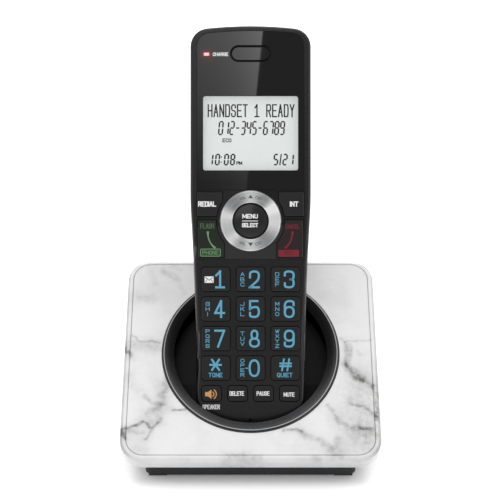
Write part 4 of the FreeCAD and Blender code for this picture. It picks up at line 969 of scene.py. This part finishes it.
SIGNS = {
    "star": ("*", (-2.6, 2.4, -1.05, 3.8), 0.4, "TONE", (-2.9, 2.7, -3.6, -1.8)),
    "hash": ("#", (-2.4, 2.56, -1.17, 3.95), 0.36, "QUIET", (-3.4, 2.84, -3.6, -1.8)),
}


def edges_at(x, y, edges):
    """Edges that are given from a point, as edges on the face."""
    left, right, low, high = edges
    return x + left, x + right, y + low, y + high


def on_key(body, name, ink, shapes, level=KEY_TOP):
    """Ink on the top of a black key."""
    print_on(body, name, ink, shapes, level)


def digit_legends():
    """A large figure to the right of each key's middle and its letters stacked at the left.
    Star and hash have their sign above a word."""
    for number, digit in enumerate(DIGITS):
        x = COLUMN * (number % 3 - 1)
        y = FIRST_ROW - ROW * (number // 3)
        if digit in SIGNS:
            sign, sign_edges, half, word, word_edges = SIGNS[digit]
            shapes = words_in(sign, *edges_at(x, y, sign_edges), half)
            shapes += words_in(word, *edges_at(x, y, word_edges), WORD_HALF)
        else:
            figure_edges = OWN_FIGURES.get(digit, FIGURE)
            shapes = words_in(digit, *edges_at(x, y, figure_edges), FIGURE_HALF)
        if digit in LETTERS:
            letters = LETTERS[digit]
            stack_edges = ZERO_STACK if digit == "0" else STACKS[len(letters)]
            shapes += stacked(letters, *edges_at(x, y, stack_edges), SMALL_HALF)
        if digit == "0":
            shapes.append(bar(*edges_at(x, y, ZERO_DASH)))
        body = "key_" + digit
        on_key(body, body + "_legend", INK_BLUE, shapes)


def envelope_legend():
    """Message key: a white envelope with its fold in grey."""
    x, y = -16.6, 61.6
    on_key("key_1", "key_1_envelope", INK_WHITE, [bar(x - 1.8, x + 1.8, y - 1.28, y + 1.28)])
    fold = [ribbon([(x - 1.55, y + 1.0), (x, y - 0.25), (x + 1.55, y + 1.0)], 0.14)]
    for side in (-1, 1):
        crease = [(x + side * 1.55, y - 1.0), (x + side * 0.75, y + 0.05)]
        fold.append(ribbon(crease, 0.11))
    on_key("key_1", "key_1_envelope_fold", INK_GREY, fold, KEY_TOP + OVERPRINT)


def small_legends():
    """Speaker, delete, pause and mute keys and the word below the first."""
    on_key("speaker_key", "speaker_key_legend", INK_ORANGE, loudspeaker(-15.9, 15.75))
    words = (
        ("delete_key", "DELETE", (-8.44, -2.6, 15.15, 16.9)),
        ("pause_key", "PAUSE", (2.4, 7.6, 15.15, 16.9)),
        ("mute_key", "MUTE", (13.2, 17.6, 14.75, 16.45)),
    )
    for body, word, edges in words:
        on_key(body, body + "_legend", INK_WHITE, words_in(word, *edges, WORD_HALF))
    shapes = words_in("SPEAKER", -19.3, -12.3, 9.63, 11.47, WORD_HALF)
    print_on("handset", "speaker_word", INK_WHITE, shapes, FACE)


# Plates of the talk and the end key: their edges, and the radius of their corners

TALK_PLATE = (-20.2, -11.9, 70.85, 74.0)
END_PLATE = (11.2, 19.4, 70.8, 73.5)
PLATE_CORNER = 0.5


def call_legends():
    """Keys round the ring: words, a green and a red receiver and their plates."""
    redial = words_in("REDIAL", -21.0, -13.8, 90.8, 92.95, CALL_HALF)
    on_key("redial_key", "redial_key_legend", INK_WHITE, redial)
    intercom = words_in("INT", 15.7, 19.1, 90.8, 92.9, CALL_HALF)
    on_key("intercom_key", "intercom_key_legend", INK_WHITE, intercom)

    left, right, low, high = TALK_PLATE
    flash = words_in("FLASH", -20.2, -14.6, 82.0, 84.1, 0.16)
    on_key("talk_key", "talk_key_flash_word", INK_FLASH, flash)
    plate = [patch(*rounded(*TALK_PLATE, PLATE_CORNER))]
    on_key("talk_key", "talk_key_plate", INK_LEAF, plate)
    border = rounded(left + 0.2, right - 0.2, low + 0.15, high - 0.15, 0.4)
    green = [ribbon(border, 0.15, closed=True)]
    green += words_in("PHONE", left + 0.95, right - 0.95, low + 0.75, high - 0.75, 0.1)
    on_key("talk_key", "talk_key_plate_word", INK_GREEN, green, KEY_TOP + OVERPRINT)
    on_key("talk_key", "talk_key_receiver", INK_GREEN, [receiver(1.0, 0.0)])

    left, right, low, high = END_PLATE
    red = [patch(*rounded(*END_PLATE, PLATE_CORNER)), receiver(-1.0, -0.4)]
    on_key("end_key", "end_key_legend", INK_RED, red)
    cancel = words_in("CANCEL", 13.7, 19.7, 81.9, 83.8, 0.2)
    on_key("end_key", "end_key_cancel_word", INK_WINE, cancel)
    off = words_in("OFF", 13.6, 17.0, low + 0.5, high - 0.5, 0.16)
    on_key("end_key", "end_key_plate_word", INK_WINE, off, KEY_TOP + OVERPRINT)


# Marks on the silver ring: each word, its middle and its turn in degrees, and a word's edges

RING_WORDS = (
    ("VOL", -3.1, 94.2, 17.0), ("CID", 3.2, 94.2, -17.0),
    ("VOL", -3.2, 76.1, -17.0), ("CID", 3.1, 76.1, 17.0),
)
RING_WORD = (-1.35, 1.35, -0.6, 0.6)


def ring_legends():
    """Centre key's two words with a line between them, and the marks on the silver ring."""
    words = words_in("MENU", -3.3, 2.9, 86.05, 87.85, 0.18)
    words.append(bar(-3.4, 2.9, 84.95, 85.2))
    words += words_in("SELECT", -3.5, 3.0, 82.55, 84.25, 0.17)
    print_on("menu_select_key", "menu_select_legend", INK_WHITE, words, MENU_TOP)
    marks = [
        patch((-0.95, 94.2), (0.95, 94.2), (0.0, 95.6)),
        patch((-1.05, 76.4), (0.0, 74.9), (1.05, 76.4)),
    ]
    for word, x, y, angle in RING_WORDS:
        shapes = words_in(word, *edges_at(x, y, RING_WORD), 0.1)
        marks += [turned(shape, angle, (x, y)) for shape in shapes]
    name = "navigation_ring_marks"
    print_on("navigation_ring", name, INK_GREY, marks, RING_TOP)


def face_legends():
    """The word beside the charge light."""
    shapes = words_in("CHARGE", -15.2, -8.95, 151.2, 152.65, 0.13)
    print_on("handset", "charge_word", INK_WHITE, shapes, LENS_TOP)


# The display: where its first letter and figure start, their steps, a letter's width, and the
# clock's two dots with half their side

CELL_START = -17.3
CELL = 2.357
LETTER = 2.0
FIGURE_START = -12.9
FIGURE_STEP = 2.25
DOTS = ((-11.75, 110.9), (-11.85, 108.8))
DOT_HALF = 0.22


def display_content():
    """What the display shows: a plain line of words, a row of figures, a clock and a date."""
    shapes = []
    for number, letter in enumerate("HANDSET 1 READY"):
        left = CELL_START + CELL * number
        if letter != " ":
            shapes += words_in(letter, left, left + LETTER, 126.9, 132.15, 0.26)
    row = "012-345-6789"
    lefts = FIGURE_START + FIGURE_STEP * np.arange(len(row))
    shapes += segment_figures(row, lefts, 120.0, 1.45, 5.1, 0.29)
    shapes += words_in("ECO", -11.3, -7.7, 116.8, 118.4, 0.15)
    shapes += segment_figures("1008", (-16.9, -14.2, -10.6, -8.1), 107.8, 1.4, 4.1, 0.3)
    shapes += [bar(x - DOT_HALF, x + DOT_HALF, y - DOT_HALF, y + DOT_HALF) for x, y in DOTS]
    shapes += words_in("PM", -5.75, -3.35, 107.7, 109.15, 0.17)
    shapes += segment_figures("521", (9.3, 13.0, 15.5), 107.8, 1.4, 4.1, 0.3)
    shapes.append(ribbon([(11.75, 107.6), (12.35, 112.1)], 0.25))
    print_on("handset", "display_segments", INK_SEGMENT, shapes, GLASS_TOP)


# Surroundings. The room: its brightness, the dim patch's, and the cosines between which it fades

ROOM_LEVEL = 0.96
DIM_LEVEL = 0.37
DIM_PATCH = (cos(radians(45.0)), cos(radians(22.0)))

# The floor: its colour for the light that it throws on the phone, and as the camera sees it with
# a glow; and the painted shadow that dims that glow round the base's footprint: from where, to
# where in millimetres out from it, and how much

FLOOR_REACH = 4.0
FLOOR_PALE = (0.85, 0.85, 0.85, 1.0)
FLOOR_SEEN = (0.95, 0.95, 0.95, 1.0)
FLOOR_GLOW = 0.82
FOOTPRINT = (42.0, 35.2)
FOOTPRINT_SET = 15.5
NEAR_PAINTED_SHADOW = (0.0, 8.0, 0.29)
FAR_PAINTED_SHADOW = (60.0, 400.0, 0.45)

# The card, in the handset's frame: how far out it stands, a point of its right edge and that
# edge's tilt, its reach to the left and up, and how its brightness rises and falls

CARD_OUT = 1500.0
CARD_EDGE = (-5.3, 167.3)
CARD_TILT = 0.105
CARD_LEFT = -900.0
CARD_UP = (-200.0, 1300.0)
CARD_LEVEL = 1.47
CARD_RISE = 0.0082
CARD_BASE = -0.893
CARD_LIMITS = (0.5, 2.4)
CARD_FALL = 45.0
CARD_SHARE = 0.6


def add_room():
    """Soft light from all round, with a dim patch where the handset's face looks: the
    brightness falls with the cosine of the angle from the face's own direction."""
    world = bpy.data.worlds.new("studio")
    bpy.context.scene.world = world
    shading = Shading(world, "Background")
    way = shading.node("ShaderNodeTexCoord", {}, {}).outputs["Generated"]
    outward = HANDSET.to_3x3() @ Vector((0.0, 0.0, 1.0))
    facing = Reading(shading, shading.vector("DOT_PRODUCT", way, tuple(outward))["Value"])
    shading.put("Color", facing.fade(*DIM_PATCH) * (ROOM_LEVEL - DIM_LEVEL) + DIM_LEVEL)
    bpy.context.scene.view_settings.view_transform = "Standard"


def add_floor():
    """Pale table that the camera sees as white, and that keeps the phone's shadow; a painted
    shadow also dims its glow round the base.
    """
    turns = ((-1, -1), (1, -1), (1, 1), (-1, 1))
    corners = [(x * FLOOR_REACH, y * FLOOR_REACH, 0.0) for x, y in turns]
    floor = flat_mesh("floor", corners, [(0, 1, 2, 3)])
    finish = Finish("floor_white", FLOOR_PALE, 0.9, Specular_IOR_Level=0.0)
    path = finish.node("ShaderNodeLightPath", {}, {})
    seen = Reading(finish, path.outputs["Is Camera Ray"])
    mirrored = Reading(finish, path.outputs["Is Glossy Ray"])
    through = Reading(finish, path.outputs["Is Transmission Ray"])
    shown = seen.greater(mirrored).greater(through)
    x, y, _ = finish.parts(finish.coordinates(TABLE, NO_TURN))
    # Painted shadow: the floor's glow is dimmed near the base, and less so further out.
    beyond = box_distance(finish, x, y + FOOTPRINT_SET, *FOOTPRINT)
    *near, near_shadow_depth = NEAR_PAINTED_SHADOW
    *far, far_shadow_depth = FAR_PAINTED_SHADOW
    glow = FLOOR_GLOW - beyond.fade(*near) * near_shadow_depth - beyond.fade(*far) * far_shadow_depth
    finish.put("Base Color", finish.blend(shown, FLOOR_PALE, FLOOR_SEEN))
    finish.put("Emission Color", finish.blend(shown * glow, BLACK, WHITE))
    finish.put("Emission Strength", 1.0)
    floor.data.materials.append(finish.material)


def add_card():
    """Bright card beyond the camera whose right edge splits the display's cover. It grows
    brighter towards its top, within limits, and towards that edge, with exp(distance / 45)."""
    low, high = CARD_UP
    x, up = CARD_EDGE
    edges = [x + CARD_TILT * (level - up) for level in CARD_UP]
    corners = [
        on_face(CARD_LEFT, low, CARD_OUT), on_face(CARD_LEFT, high, CARD_OUT),
        on_face(edges[1], high, CARD_OUT), on_face(edges[0], low, CARD_OUT),
    ]
    card = flat_mesh("mirror_card", corners, [(0, 1, 2, 3)])
    card.visible_camera = False
    finish = Finish("card_glow", BLACK, 1.0, Specular_IOR_Level=0.0)
    across, upward, _ = finish.parts(finish.coordinates(FOOT, HANDSET_TURN))
    beside = across - (upward * CARD_TILT + (x - CARD_TILT * up))
    darkest, brightest = CARD_LIMITS
    rise = (upward * CARD_RISE + CARD_BASE).greater(darkest).lesser(brightest)
    along_edge = finish.math("EXPONENT", beside / CARD_FALL) * CARD_SHARE + (1.0 - CARD_SHARE)
    finish.put("Emission Color", rise * along_edge * CARD_LEVEL)
    finish.put("Emission Strength", 1.0)
    card.data.materials.append(finish.material)


add_camera()
add_lamps()
add_room()
add_floor()
add_card()
dress_nodes()
digit_legends()
envelope_legend()
small_legends()
call_legends()
ring_legends()
face_legends()
display_content()
